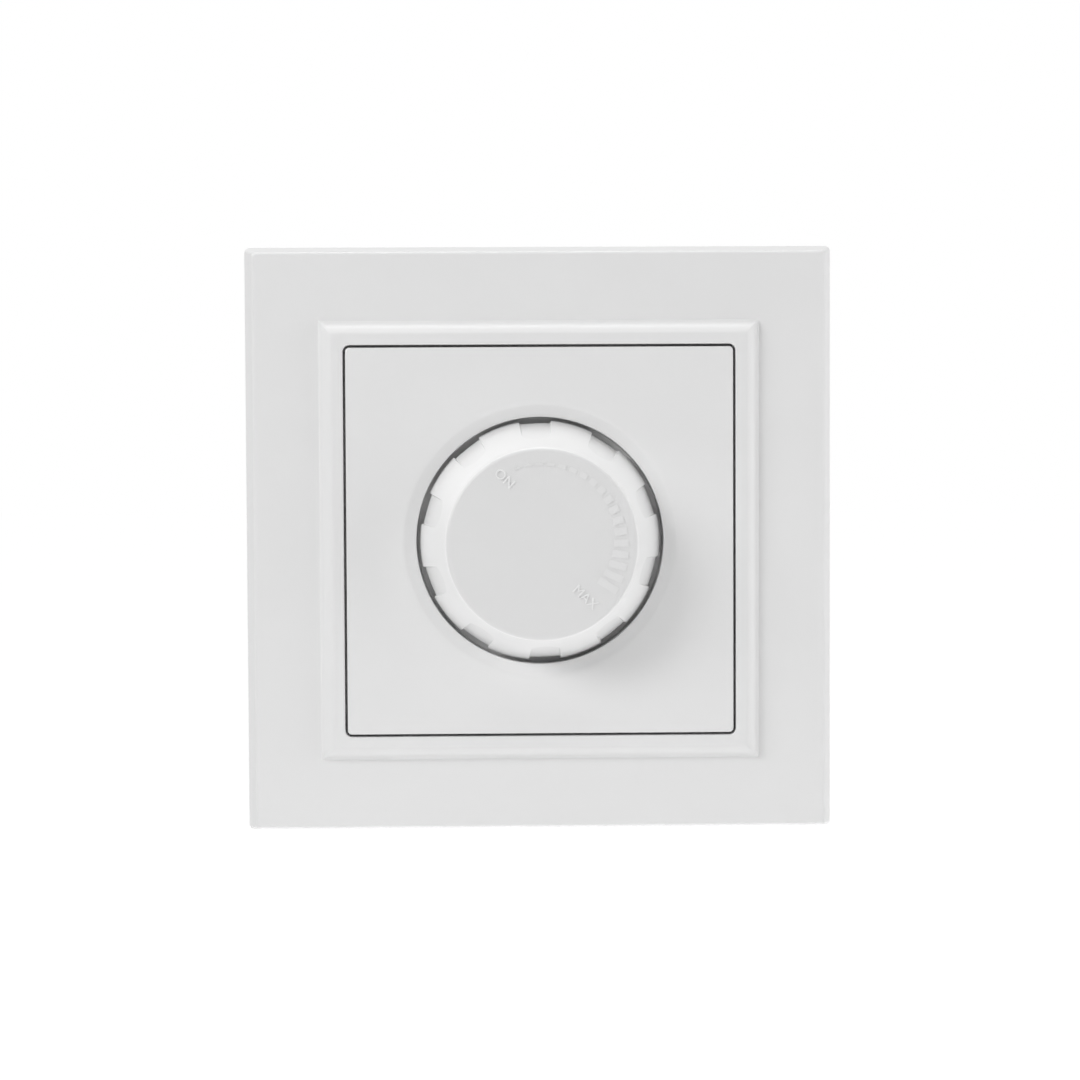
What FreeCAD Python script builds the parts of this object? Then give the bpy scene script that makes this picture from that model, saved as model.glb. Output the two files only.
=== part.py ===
import FreeCAD, Part
import Sketcher
import math
import os
import re

# Rotary dimmer switch for a round wall box.
# The wall is the plane Y = 0, the room lies towards -Y, and +Z is up.
# A level is a height above the wall, towards the room, so Y = -level.

SIZES = [
    # cover frame
    ("frame_width", 82.0, "cover frame at the wall, side to side"),
    ("frame_height", 82.0, "cover frame at the wall, top to bottom"),
    ("frame_rise", 4.6, "front face of the cover frame above the wall"),
    ("frame_wall", 1.8, "wall of the cover frame"),
    ("side_taper", 1.25, "draft of the frame's left and right sides"),
    ("top_taper", 0.8, "draft of the frame's top and bottom"),
    ("edge_round", 0.5, "rounding of the frame's outer edges"),
    ("bezel_foot", 1.9, "width of the raised bezel's slope"),
    ("bezel_land", 1.65, "flat top of the raised bezel"),
    ("bezel_rise", 2.1, "height of the raised bezel"),
    ("bezel_swell", 0.3, "bulge of the bezel's slope"),
    ("ledge_reach", 1.5, "ledge behind the centre plate's rim"),
    ("ledge_thick", 1.2, "thickness of that ledge"),
    ("notch_width", 8.0, "notch for the heads of the wall screws"),
    ("notch_reach", 7.0, "length of that notch"),
    ("head_room", 2.0, "height of the wall screws' heads"),
    ("peg_radius", 1.5, "frame's pegs on the support plate"),
    ("peg_inset", 4.5, "pegs from the edges of the support plate"),
    # centre plate
    ("plate_width", 53.8, "square centre plate"),
    ("plate_corner", 1.0, "corner radius of the centre plate"),
    ("plate_gap", 0.35, "gap round the centre plate"),
    ("plate_thick", 2.0, "thickness of the centre plate"),
    ("skirt_wall", 1.4, "skirt round the centre plate's back"),
    ("dish_width", 1.85, "sloping ring round the well"),
    ("dish_depth", 0.7, "depth of that ring"),
    ("well_wall", 1.5, "wall of the well that the knob sits in"),
    ("floor_thick", 1.6, "floor of the well"),
    # knob
    ("rim_radius", 16.74, "knob's rim"),
    ("face_radius", 13.1, "knob's flat face"),
    ("knob_height", 11.0, "knob from rim to face"),
    ("knob_sink", 1.0, "rim below the mouth of the well"),
    ("knob_gap", 0.46, "gap round the knob"),
    ("knob_wall", 1.8, "side wall of the knob"),
    ("knob_roof", 2.0, "face of the knob"),
    ("face_round", 0.5, "rounding of the face's edge"),
    ("grip_count", 10, "finger grips round the knob"),
    ("grip_depth", 0.4, "depth of a grip at the rim"),
    ("grip_radius", 9.0, "radius of the cutter that leaves a grip"),
    ("grip_reach", 7.4, "height at which a grip runs out"),
    ("grip_phase", -2.2, "turn of the grips from the top"),
    ("hub_radius", 5.6, "hub inside the knob"),
    ("rib_count", 5, "ribs between hub and wall"),
    ("rib_thick", 1.2, "thickness of a rib"),
    ("rib_depth", 3.0, "height of a rib"),
    # spindle and its fastening
    ("spindle_radius", 3.0, "spindle"),
    ("flat_place", 1.5, "flat of the spindle from its axis"),
    ("knob_fit", 0.03, "bore of the hub over the spindle"),
    ("clip_thick", 0.4, "spring clip on the flat"),
    ("clip_width", 3.2, "width of the spring clip"),
    ("run_fit", 0.05, "radial play of a turning shaft"),
    ("tip_gap", 0.4, "spindle's end below the knob's roof"),
    ("neck_radius", 5.0, "threaded neck"),
    ("neck_spare", 0.8, "neck beyond its nut"),
    ("washer_radius", 7.6, "lock washer"),
    ("washer_thick", 0.5, "thickness of the lock washer"),
    ("washer_teeth", 10, "teeth of the lock washer"),
    ("tooth_depth", 1.1, "depth of the gaps between the teeth"),
    ("nut_flats", 14.0, "nut across its flats"),
    ("nut_thick", 2.4, "thickness of the nut"),
    ("ring_thick", 0.6, "retaining ring"),
    ("ring_width", 1.3, "width of the retaining ring"),
    ("ring_groove", 0.5, "depth of its groove in the spindle"),
    ("ring_gap", 0.3, "play of the ring before the neck"),
    ("hub_gap", 0.5, "hub's end before the retaining ring"),
    # support plate
    ("support_gap", 2.45, "room round the support plate inside the cover frame"),
    ("support_thick", 1.2, "thickness of the support plate"),
    ("support_cut", 6.0, "cut corners of the support plate"),
    ("screw_spacing", 60.0, "wall box screws, hole to hole"),
    ("slot_length", 7.0, "slot for a wall box screw, end to end"),
    ("slot_radius", 2.1, "half the width of that slot"),
    ("key_radius", 1.75, "round holes above and below"),
    ("tab_width", 10.0, "edge notches for a neighbouring plate"),
    ("tab_depth", 1.5, "depth of the edge notches"),
    ("window_width", 6.4, "windows for the housing's hooks"),
    ("window_play", 0.3, "play of a hook in its window"),
    # base housing
    ("room_play", 1.2, "power switch from the base's side wall"),
    ("corner_reach", 3.0, "round corners of the base beyond its flat sides"),
    ("housing_wall", 1.8, "side wall of the base"),
    ("rear_wall", 2.4, "rear wall of the base"),
    ("solder_room", 3.4, "room behind the circuit board"),
    ("hook_width", 6.0, "width of a hook"),
    ("hook_thick", 1.5, "thickness of a hook"),
    ("hook_barb", 0.9, "reach of its barb"),
    ("hook_head", 1.2, "height of its barb"),
    ("post_radius", 1.6, "posts that carry the circuit board"),
    ("post_inset", 3.2, "posts from the side wall"),
    ("rib_wall", 1.2, "walls between the terminals"),
    ("guide_bridge", 3.0, "side wall left in front of the wire guide"),
    ("guide_step", 0.6, "step round the wire guide"),
    ("guide_play", 0.1, "play round the wire guide"),
    # potentiometer and its switch
    ("pot_radius", 10.0, "potentiometer"),
    ("disc_thick", 1.6, "front disc of the potentiometer"),
    ("wafer_thick", 1.2, "wafer with the carbon track"),
    ("track_inset", 2.8, "middle of the carbon track from the can's wall"),
    ("can_depth", 5.6, "metal can behind the wafer"),
    ("can_wall", 0.4, "wall of the metal can"),
    ("switch_depth", 6.2, "switch cup behind the can"),
    ("switch_wall", 1.0, "wall of the switch cup"),
    ("lug_width", 1.5, "locating lug beside the neck"),
    ("lug_inset", 2.2, "locating lug from the disc's edge"),
    ("tongue_reach", 1.5, "wafer's tongue beyond the can"),
    ("tongue_width", 12.0, "width of the wafer's tongue"),
    ("pin_pitch", 4.0, "pitch of the pins"),
    ("pin_width", 1.0, "width of a pin"),
    ("pin_thick", 0.5, "thickness of a pin"),
    ("pin_tail", 0.8, "pin beyond the circuit board"),
    ("tail_radius", 2.0, "spindle's tail in the rotor"),
    ("rotor_hub", 3.4, "hub of the rotor"),
    ("stop_play", 0.5, "rotor's disc from the stop"),
    ("rotor_disc", 2.0, "thickness of the rotor's disc"),
    ("rotor_gap", 0.3, "play round the rotor"),
    ("wiper_thick", 0.4, "wiper"),
    ("wiper_lift", 0.5, "room between track and wiper"),
    ("wiper_ring", 5.0, "ring of the wiper"),
    ("wiper_width", 1.6, "arm of the wiper"),
    ("dimple_radius", 0.6, "contact of the wiper"),
    ("touch_gap", 0.2, "play between moving contacts"),
    ("stop_width", 6.0, "stop inside the can"),
    ("stop_reach", 1.5, "stop inwards from the can's wall"),
    ("stop_lug", 3.0, "lug of the rotor"),
    ("turn_range", 290.0, "knob's whole turn in degrees"),
    ("turn_shown", 43.0, "turn from off at which the knob is shown"),
    ("cam_inset", 0.657, "cam finger inside the arm's path"),
    ("cam_width", 2.0, "width of the cam finger"),
    ("cam_length", 3.0, "length of the cam finger"),
    ("arm_gap", 0.4, "cam finger's play over the contact arm"),
    ("arm_thick", 0.4, "contact arm"),
    ("arm_width", 3.0, "width of the contact arm"),
    ("eye_radius", 1.0, "eye of the contact arm"),
    ("stem_radius", 0.55, "post that the arm turns on"),
    ("contact_width", 1.2, "fixed contact"),
    ("contact_height", 1.0, "height of the fixed contact"),
    # circuit board and what it carries
    ("board_gap", 0.4, "board behind the switch cup"),
    ("board_thick", 1.6, "circuit board"),
    ("board_edge", 1.0, "board from the wall of the base"),
    ("part_gap", 0.5, "room between parts on the board"),
    ("core_radius", 6.3, "ferrite ring of the choke"),
    ("core_bore", 3.6, "bore of the ferrite ring"),
    ("core_thick", 5.0, "thickness of the ferrite ring"),
    ("wire_build", 0.9, "thickness of the choke's winding"),
    ("film_width", 6.0, "mains capacitor"),
    ("film_length", 18.0, "length of the mains capacitor"),
    ("film_height", 11.0, "height of the mains capacitor"),
    ("film_drop", 1.0, "mains capacitor above the middle"),
    ("box_width", 5.2, "timing capacitor"),
    ("box_thick", 2.5, "thickness of the timing capacitor"),
    ("box_height", 6.5, "height of the timing capacitor"),
    ("resistor_radius", 1.2, "body of a resistor"),
    ("resistor_length", 6.3, "length of a resistor's body"),
    ("resistor_pitch", 3.2, "resistors' spacing"),
    ("diode_radius", 0.9, "trigger diode"),
    ("diode_length", 3.8, "length of the trigger diode"),
    ("lead_radius", 0.3, "wire leads, tinned where they go into the board"),
    ("lead_neck", 0.24, "wire leads beside a part"),
    ("lead_reach", 0.8, "leads beyond a body before their bend"),
    ("lead_lift", 0.4, "axial parts above the board"),
    ("tube_radius", 2.4, "glass tube of the fuse"),
    ("cap_radius", 2.6, "end caps of the fuse"),
    ("cap_length", 5.0, "length of an end cap"),
    ("fuse_length", 20.0, "fuse"),
    ("fuse_lift", 5.5, "fuse's axis above the board"),
    ("spring_thick", 0.4, "clips of the fuse"),
    ("spring_width", 4.2, "width of a fuse clip"),
    ("clip_play", 0.1, "fuse clip from the contact bar below it"),
    ("triac_width", 10.0, "power switch's width"),
    ("triac_body", 9.2, "power switch's moulded body"),
    ("triac_thick", 4.4, "power switch's thickness"),
    ("triac_tab", 6.2, "power switch's metal tab"),
    ("tab_thick", 1.3, "thickness of that tab"),
    ("triac_gap", 2.0, "power switch from the potentiometer"),
    ("leg_pitch", 2.54, "legs of the power switch"),
    ("leg_width", 0.8, "width of a leg"),
    ("leg_thick", 0.5, "thickness of a leg"),
    ("leg_reach", 1.0, "legs beyond the body before their bend"),
    ("bolt_radius", 1.5, "screw of the power switch"),
    ("bolt_head", 2.7, "head of that screw"),
    ("bolt_thick", 2.0, "height of that head"),
    # terminals
    ("terminal_pitch", 8.5, "spacing of the terminals"),
    ("cage_width", 6.4, "clamp cage, across"),
    ("cage_height", 6.0, "clamp cage, along the wire"),
    ("cage_wall", 1.5, "threaded wall of the cage"),
    ("cage_side", 1.0, "side walls of the cage"),
    ("cage_sole", 1.2, "sole of the cage, which lifts the wire"),
    ("cage_length", 9.3, "clamp cage, along the screw"),
    ("cage_play", 0.4, "play round a cage"),
    ("clamp_travel", 2.5, "travel of a cage"),
    ("bar_thick", 1.0, "contact bar"),
    ("bar_width", 3.6, "width of the contact bar"),
    ("bar_play", 1.4, "bar from the cage's threaded wall"),
    ("screw_radius", 1.75, "terminal screw"),
    ("screw_head", 2.6, "head of the terminal screw"),
    ("screw_head_thick", 1.5, "height of that head"),
    ("head_play", 0.2, "play round the head"),
    ("web_thick", 0.6, "web that holds the screw's head"),
    ("web_play", 0.06, "play under the head"),
    ("driver_width", 0.8, "slot of the terminal screw"),
    ("driver_depth", 0.8, "depth of that slot"),
    ("wire_radius", 1.9, "wire entry"),
]

# Places worked out from the sizes; each name may be used in the others.
PLACES = {
    "front": "frame_rise + bezel_rise",
    "plate_half": "plate_width / 2",
    "mouth_half": "plate_half + plate_gap",
    "mouth_corner": "plate_corner + plate_gap",
    "ledge_half": "max(mouth_half - ledge_reach; hook_outer + window_play)",
    "bezel_half": "mouth_half + bezel_land",
    "foot_half": "bezel_half + bezel_foot",
    "ledge_front": "support_thick + head_room",
    "ledge_back": "ledge_front - ledge_thick",
    "side_half": "frame_width / 2",
    "top_half": "frame_height / 2",
    "slope_length": "sqrt(bezel_foot^2 + bezel_rise^2)",
    "slope_radius": "((slope_length / 2)^2 + bezel_swell^2) / (2 * bezel_swell)",
    "hollow_side": "side_half - side_taper - frame_wall",
    "hollow_top": "top_half - top_taper - frame_wall",
    "support_side": "hollow_side - support_gap",
    "support_top": "hollow_top - support_gap",
    "hollow_front": "frame_rise - frame_wall",
    "floor_front": "support_thick + floor_thick",
    "washer_front": "floor_front + washer_thick",
    "nut_front": "washer_front + nut_thick",
    "neck_front": "nut_front + neck_spare",
    "well_radius": "rim_radius + knob_gap",
    "dish_radius": "well_radius + dish_width",
    "mouth": "front - dish_depth",
    "rim": "mouth - knob_sink",
    "face": "rim + knob_height",
    "roof": "face - knob_roof",
    "knob_slope": "(rim_radius - face_radius) / knob_height",
    "inner_roof": "face_radius + knob_slope * knob_roof - knob_wall",
    "inner_rim": "rim_radius - knob_wall",
    "ring_back": "neck_front + ring_gap",
    "ring_front": "ring_back + ring_thick",
    "hub_end": "ring_front + hub_gap",
    "spindle_end": "roof - tip_gap",
    "hub_bore": "spindle_radius + knob_fit",
    "bore_flat": "flat_place + clip_thick",
    "disc_back": "-disc_thick",
    "wafer_back": "disc_back - wafer_thick",
    "can_back": "wafer_back - can_depth",
    "cup_back": "can_back - switch_depth",
    "board_front": "cup_back - board_gap",
    "board_back": "board_front - board_thick",
    "pin_end": "board_back - pin_tail",
    "room_back": "board_back - solder_room",
    "housing_back": "room_back - rear_wall",
    "switch_room": "triac_low + triac_width + room_play",
    "clip_low": "fuse_high - fuse_length + (cap_length - spring_width) / 2",
    "fuse_room": "cage_height + 2 * cage_play + 1.5 * bar_thick + clip_play - clip_low",
    "room_half": "max(switch_room; fuse_room)",
    "housing_half": "room_half + housing_wall",
    "housing_round": "housing_half + corner_reach",
    "room_round": "housing_round - housing_wall",
    "room_flat": "sqrt(room_round^2 - room_half^2)",
    "post_place": "room_half - post_inset",
    "guide_front": "-guide_bridge",
    "guide_back": "2 * wire_level - guide_front",
    "neck_bore": "spindle_radius + run_fit",
    "wiper_back": "wafer_back - wiper_lift - wiper_thick",
    "rotor_back": "wiper_back - rotor_disc",
    "cam_front": "can_back - rotor_gap - can_wall",
    "cam_back": "cam_front - cam_length",
    "can_inner": "pot_radius - can_wall",
    "lug_place": "pot_radius - lug_inset",
    "track_radius": "can_inner - track_inset",
    "rotor_radius": "can_inner - stop_reach - stop_play",
    "cam_radius": "(pot_radius - switch_wall - eye_radius) / sqrt(2) - cam_inset",
    "arm_top": "cam_radius + arm_gap",
    "arm_middle": "arm_top + arm_thick / 2",
    "arm_root": "arm_middle - eye_radius / 2",
    "arm_tip": "arm_top",
    "contact_low": "arm_top - touch_gap",
    "contact_high": "contact_low - contact_height",
    "contact_left": "arm_tip - contact_width",
    "pin_place": "pot_radius + tongue_reach / 2",
    "board_low": "cage_middle + cage_height / 2 + cage_play",
    "board_half": "room_half - board_edge",
    "board_round": "room_round - board_edge",
    "choke_radius": "core_radius + wire_build",
    "choke_place": "(pot_radius + part_gap + choke_radius) / sqrt(2)",
    "choke_middle": "board_front + wire_build + core_thick / 2",
    "film_left": "pot_radius + tongue_reach + 2 * part_gap",
    "film_low": "film_drop - film_length / 2",
    "film_high": "film_drop + film_length / 2",
    "fuse_place": "pot_radius + part_gap + spring_thick + cap_radius",
    "fuse_high": "choke_place - choke_radius - part_gap",
    "fuse_level": "board_front + fuse_lift",
    "triac_low": "pot_radius + triac_gap",
    "triac_middle": "triac_low + triac_width / 2",
    "triac_left": "-(triac_tab + triac_body) / 2",
    "triac_right": "triac_left + triac_tab + triac_body",
    "bolt_place": "triac_left + triac_tab / 2",
    "cage_middle": "-(room_half - cage_play - cage_height / 2)",
    "cage_back": "room_back + clamp_travel + cage_play",
    "cage_front": "cage_back + cage_length",
    "bar_back": "cage_back + cage_wall + bar_play",
    "bar_front": "bar_back + bar_thick",
    "wire_level": "(bar_front + cage_front - cage_sole) / 2",
    "head_front": "room_back - web_thick - web_play",
    "head_back": "head_front - screw_head_thick",
    "screw_tip": "bar_back - cage_play",
    "hook_outer": "housing_half - window_play",
    "hook_inner": "hook_outer - hook_thick",
    "bar_pin": "board_low + bar_thick",
    "cage_low": "cage_middle - cage_height / 2",
    "cage_high": "cage_middle + cage_height / 2",
    "leg_bend": "triac_right + leg_reach",
    "leads_left": "leg_bend + 2 * part_gap + leg_thick",
    "leads_low": "film_high + part_gap + resistor_radius",
}

WORD = re.compile(r"[A-Za-z_][A-Za-z_0-9]*")
ALIASES = {alias for alias, _, _ in SIZES}

doc = FreeCAD.newDocument("rotary_dimmer")
sheet = doc.addObject("Spreadsheet::Sheet", "Sizes")
for row, (alias, number, meaning) in enumerate(SIZES, start=1):
    sheet.set(f"A{row}", str(number))
    sheet.setAlias(f"A{row}", alias)
    sheet.set(f"B{row}", meaning)
doc.recompute()

nodes = []


def formula(words):
    """Write out a formula in sheet cells, following the places that it names."""

    def spell(match):
        word = match.group(0)
        if word in ALIASES:
            return f"Sizes.{word}"
        if word in PLACES:
            return f"({formula(PLACES[word])})"
        return word

    return WORD.sub(spell, str(words))


def value(words):
    """Work a formula out, as a plain number."""
    found = sheet.evalExpression(formula(words))
    return float(getattr(found, "Value", found))


def bind(thing, name, words):
    thing.setExpression(name, formula(words))


def keep(thing, label):
    """Count a finished sub-part in, under the name of its file."""
    thing.Label = label
    nodes.append(thing)
    return thing


# Bodies with sketches and features

def new_body(label):
    body = doc.addObject("PartDesign::Body", label + "_body")
    return keep(body, label)


def origin_part(body, role):
    return next(item for item in body.Origin.OriginFeatures if item.Role == role)


def new_sketch(body, plane, level="0"):
    """A sketch on an origin plane; on the XZ plane its height is a level above the wall."""
    drawing = body.newObject("Sketcher::SketchObject", "Sketch")
    drawing.AttachmentSupport = [(origin_part(body, plane), "")]
    drawing.MapMode = "FlatFace"
    bind(drawing, "AttachmentOffset.Base.z", level)
    return drawing


def hold(drawing, item, position, across, up):
    """Keep a point of the sketch at its distances from the origin."""
    for kind, words in (("DistanceX", across), ("DistanceY", up)):
        rule = Sketcher.Constraint(kind, -1, 1, item, position, value(words))
        index = drawing.addConstraint(rule)
        bind(drawing, f"Constraints[{index}]", words)


def draw_circle(drawing, radius, across="0", up="0"):
    centre = FreeCAD.Vector(value(across), value(up), 0)
    item = drawing.addGeometry(Part.Circle(centre, FreeCAD.Vector(0, 0, 1), value(radius)), False)
    hold(drawing, item, 3, across, up)
    rule = drawing.addConstraint(Sketcher.Constraint("Radius", item, value(radius)))
    bind(drawing, f"Constraints[{rule}]", radius)


def arc_between(start, end, radius, side):
    """An arc from start to end. It bulges to the right of the way travelled where side is 1,
    and to the left where side is -1."""
    chord = end - start
    left = FreeCAD.Vector(-chord.y, chord.x, 0).normalize()
    depth = math.sqrt(radius ** 2 - (chord.Length / 2) ** 2)
    centre = (start + end) / 2 + left * (side * depth)
    ends = (start, end) if side > 0 else (end, start)
    angles = [math.atan2(point.y - centre.y, point.x - centre.x) for point in ends]
    return Part.ArcOfCircle(Part.Circle(centre, FreeCAD.Vector(0, 0, 1), radius), *angles)


def draw_outline(drawing, points):
    """A closed outline of points (across, up). A point (across, up, radius, side) is followed
    by an arc, the others by a straight line."""
    corners = [FreeCAD.Vector(value(point[0]), value(point[1]), 0) for point in points]
    lines = []
    for index, (start, point) in enumerate(zip(corners, points)):
        end = corners[(index + 1) % len(points)]
        if len(point) == 2:
            lines.append((drawing.addGeometry(Part.LineSegment(start, end), False), 1, 2))
            continue
        radius, side = point[2:]
        item = drawing.addGeometry(arc_between(start, end, value(radius), side), False)
        lines.append((item, 1, 2) if side > 0 else (item, 2, 1))
        rule = drawing.addConstraint(Sketcher.Constraint("Radius", item, value(radius)))
        bind(drawing, f"Constraints[{rule}]", radius)
    for index, point in enumerate(points):
        item, first, last = lines[index]
        following, following_first, _ = lines[(index + 1) % len(points)]
        joined = Sketcher.Constraint("Coincident", item, last, following, following_first)
        drawing.addConstraint(joined)
        hold(drawing, item, first, point[0], point[1])


def draw_box(drawing, left, right, low, high):
    draw_outline(drawing, [(left, low), (right, low), (right, high), (left, high)])


def draw_square(drawing, half):
    draw_box(drawing, f"-({half})", half, f"-({half})", half)


def draw_patch(drawing, across, up, half_across, half_up):
    """A box round a point."""
    draw_box(drawing, f"{across} - ({half_across})", f"{across} + ({half_across})",
             f"{up} - ({half_up})", f"{up} + ({half_up})")


def draw_round_corners(drawing, half, end, radius):
    """Four flat sides at the distance half, each reaching end both ways, and four arcs."""
    draw_outline(drawing, [
        (f"-({end})", f"-({half})"), (end, f"-({half})", radius, 1),
        (half, f"-({end})"), (half, end, radius, 1),
        (end, half), (f"-({end})", half, radius, 1),
        (f"-({half})", end), (f"-({half})", f"-({end})", radius, 1),
    ])


def draw_rounded_square(drawing, half, corner):
    draw_round_corners(drawing, half, f"{half} - {corner}", corner)


def draw_flattened_circle(drawing, half, radius):
    """A circle with four flat sides."""
    draw_round_corners(drawing, half, f"sqrt({radius}^2 - {half}^2)", radius)


def pad(body, drawing, length, both_ways=False):
    feature = body.newObject("PartDesign::Pad", "Pad")
    feature.Profile = drawing
    if both_ways:
        feature.SideType = "Symmetric"
    bind(feature, "Length", length)
    body.Tip = feature
    return feature


def pocket(body, drawing, depth, both_ways=False, along=False):
    """Cut against the sketch's direction, or along it."""
    feature = body.newObject("PartDesign::Pocket", "Pocket")
    feature.Profile = drawing
    if both_ways:
        feature.SideType = "Symmetric"
    feature.Reversed = along
    bind(feature, "Length", depth)
    body.Tip = feature
    return feature


def turn(body, drawing, kind):
    """Turn a profile of radii and Y places about the knob's axis."""
    feature = body.newObject(f"PartDesign::{kind}", kind)
    feature.Profile = drawing
    feature.ReferenceAxis = (drawing, ["V_Axis"])
    feature.Angle = 360
    body.Tip = feature
    return feature


def round_pattern(body, feature, count):
    pattern = body.newObject("PartDesign::PolarPattern", "Pattern")
    pattern.Originals = [feature]
    pattern.Axis = (origin_part(body, "Y_Axis"), [""])
    pattern.Angle = 360
    bind(pattern, "Occurrences", count)
    body.Tip = pattern
    return pattern


def round_edges(body, edges, radius):
    last = body.Tip
    rounding = body.newObject("PartDesign::Fillet", "Rounding")
    rounding.Base = (last, edges)
    bind(rounding, "Radius", radius)
    body.Tip = rounding


def turned_body(label, profile):
    """A turned piece, from its profile of (radius, level) points."""
    body = new_body(label)
    drawing = new_sketch(body, "XY_Plane")
    draw_outline(drawing, [(radius, f"-({level})") for radius, level in profile])
    turn(body, drawing, "Revolution")
    return body


def set_turn(thing, angle):
    """Turn a piece clockwise about the knob's axis, as seen from the room."""
    thing.Placement = FreeCAD.Placement(FreeCAD.Vector(), FreeCAD.Rotation(FreeCAD.Vector(0, 1, 0), 1))
    bind(thing, "Placement.Rotation.Angle", angle)


def set_place(thing, across, up, level="0"):
    bind(thing, "Placement.Base.x", across)
    bind(thing, "Placement.Base.y", f"-({level})")
    bind(thing, "Placement.Base.z", up)


# Primitives and booleans

def block(left, right, low, high, back, front):
    thing = doc.addObject("Part::Box", "Block")
    bind(thing, "Length", f"({right}) - ({left})")
    bind(thing, "Width", f"({front}) - ({back})")
    bind(thing, "Height", f"({high}) - ({low})")
    set_place(thing, left, low, front)
    return thing


def rod(radius, across, up, back, front):
    """A cylinder along the knob's axis direction, between two levels."""
    thing = doc.addObject("Part::Cylinder", "Rod")
    bind(thing, "Radius", radius)
    bind(thing, "Height", f"({front}) - ({back})")
    thing.Placement.Rotation = FreeCAD.Rotation(FreeCAD.Vector(1, 0, 0), -90)
    set_place(thing, across, up, front)
    return thing


def rod_across(radius, left, right, up, level):
    thing = doc.addObject("Part::Cylinder", "Rod")
    bind(thing, "Radius", radius)
    bind(thing, "Height", f"({right}) - ({left})")
    thing.Placement.Rotation = FreeCAD.Rotation(FreeCAD.Vector(0, 1, 0), 90)
    set_place(thing, left, up, level)
    return thing


def rod_up(radius, across, level, low, high):
    thing = doc.addObject("Part::Cylinder", "Rod")
    bind(thing, "Radius", radius)
    bind(thing, "Height", f"({high}) - ({low})")
    set_place(thing, across, low, level)
    return thing


def cut(base, *tools):
    for tool in tools:
        result = doc.addObject("Part::Cut", "Cut")
        result.Base = base
        result.Tool = tool
        base = result
    return base


def fuse(*pieces):
    result = doc.addObject("Part::MultiFuse", "Fuse")
    result.Shapes = list(pieces)
    return result


def group(*pieces):
    """Like pieces that share a node, each a solid of its own."""
    result = doc.addObject("Part::Compound", "Group")
    result.Links = list(pieces)
    return result


# Cover frame: a tray with drafted sides and a raised bezel round the centre plate.
# Its outside is one section carried across and cut to the other section carried up.

def frame_section(half, taper, bulge):
    """Corners of the frame's section, as (distance from the middle, level): up its right side
    and down its left. The bezel's slopes are arcs that bulge to that side of the way."""
    slope = ("slope_radius", bulge)
    return [
        (half, "0"), (f"{half} - {taper}", "frame_rise"), ("foot_half", "frame_rise", *slope),
        ("bezel_half", "front"), ("-(bezel_half)", "front", *slope),
        ("-(foot_half)", "frame_rise"), (f"-({half} - {taper})", "frame_rise"), (f"-({half})", "0"),
    ]


def make_cover_frame():
    body = new_body("cover_frame")
    # Section across, in X and Y, carried up
    section = new_sketch(body, "XY_Plane")
    draw_outline(section, [(across, f"-({level})", *arc) for across, level, *arc
                           in frame_section("side_half", "side_taper", -1)])
    pad(body, section, "2 * top_half", both_ways=True)
    # Section up, in Y and Z: all that lies outside it is cut away
    upright = new_sketch(body, "YZ_Plane")
    draw_outline(upright, [(f"-({level})", up, *arc) for up, level, *arc
                           in frame_section("top_half", "top_taper", 1)])
    draw_square(upright, "frame_height")
    pocket(body, upright, "2 * frame_width", both_ways=True)
    # Hollow back, with an island that carries the ledge
    hollow = new_sketch(body, "XZ_Plane")
    draw_patch(hollow, "0", "0", "hollow_side", "hollow_top")
    draw_square(hollow, "mouth_half + frame_wall")
    pocket(body, hollow, "hollow_front", along=True)
    island = new_sketch(body, "XZ_Plane")
    draw_square(island, "mouth_half + 2 * frame_wall")
    pocket(body, island, "ledge_back", along=True)
    # Mouth for the centre plate down to the ledge, and the way through
    mouth = new_sketch(body, "XZ_Plane", "front")
    draw_rounded_square(mouth, "mouth_half", "mouth_corner")
    pocket(body, mouth, "front - ledge_front")
    way = new_sketch(body, "XZ_Plane", "ledge_front")
    draw_square(way, "ledge_half")
    pocket(body, way, "ledge_thick")
    # Notches for the wall screws' heads
    notches = new_sketch(body, "XZ_Plane", "ledge_back")
    for side in ("-1", "1"):
        draw_patch(notches, f"{side} * screw_spacing / 2", "0", "notch_reach / 2", "notch_width / 2")
    pocket(body, notches, "ledge_thick", along=True)
    # Pegs that meet the support plate
    pegs = new_sketch(body, "XZ_Plane", "support_thick")
    for side in ("-1", "1"):
        for end in ("-1", "1"):
            draw_circle(pegs, "peg_radius", f"{side} * (support_side - peg_inset)",
                        f"{end} * (support_top - peg_inset)")
    pad(body, pegs, "hollow_front - support_thick")
    doc.recompute()
    round_edges(body, outer_edges(body.Tip.Shape), "edge_round")


def outer_edges(shape):
    """Names of the edges round the frame's front face and of its four corners."""
    side, top = value("side_half - side_taper"), value("top_half - top_taper")
    slack = value("run_fit")
    names = []
    for number, edge in enumerate(shape.Edges, start=1):
        ends = [vertex.Point for vertex in edge.Vertexes]
        at_corners = all(abs(end.x) > side - slack and abs(end.z) > top - slack for end in ends)
        if at_corners and max(-end.y for end in ends) > value("frame_rise") - slack:
            names.append(f"Edge{number}")
    return names


# Centre plate: a square plate with a skirt behind it and a dished well for the knob.

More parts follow.
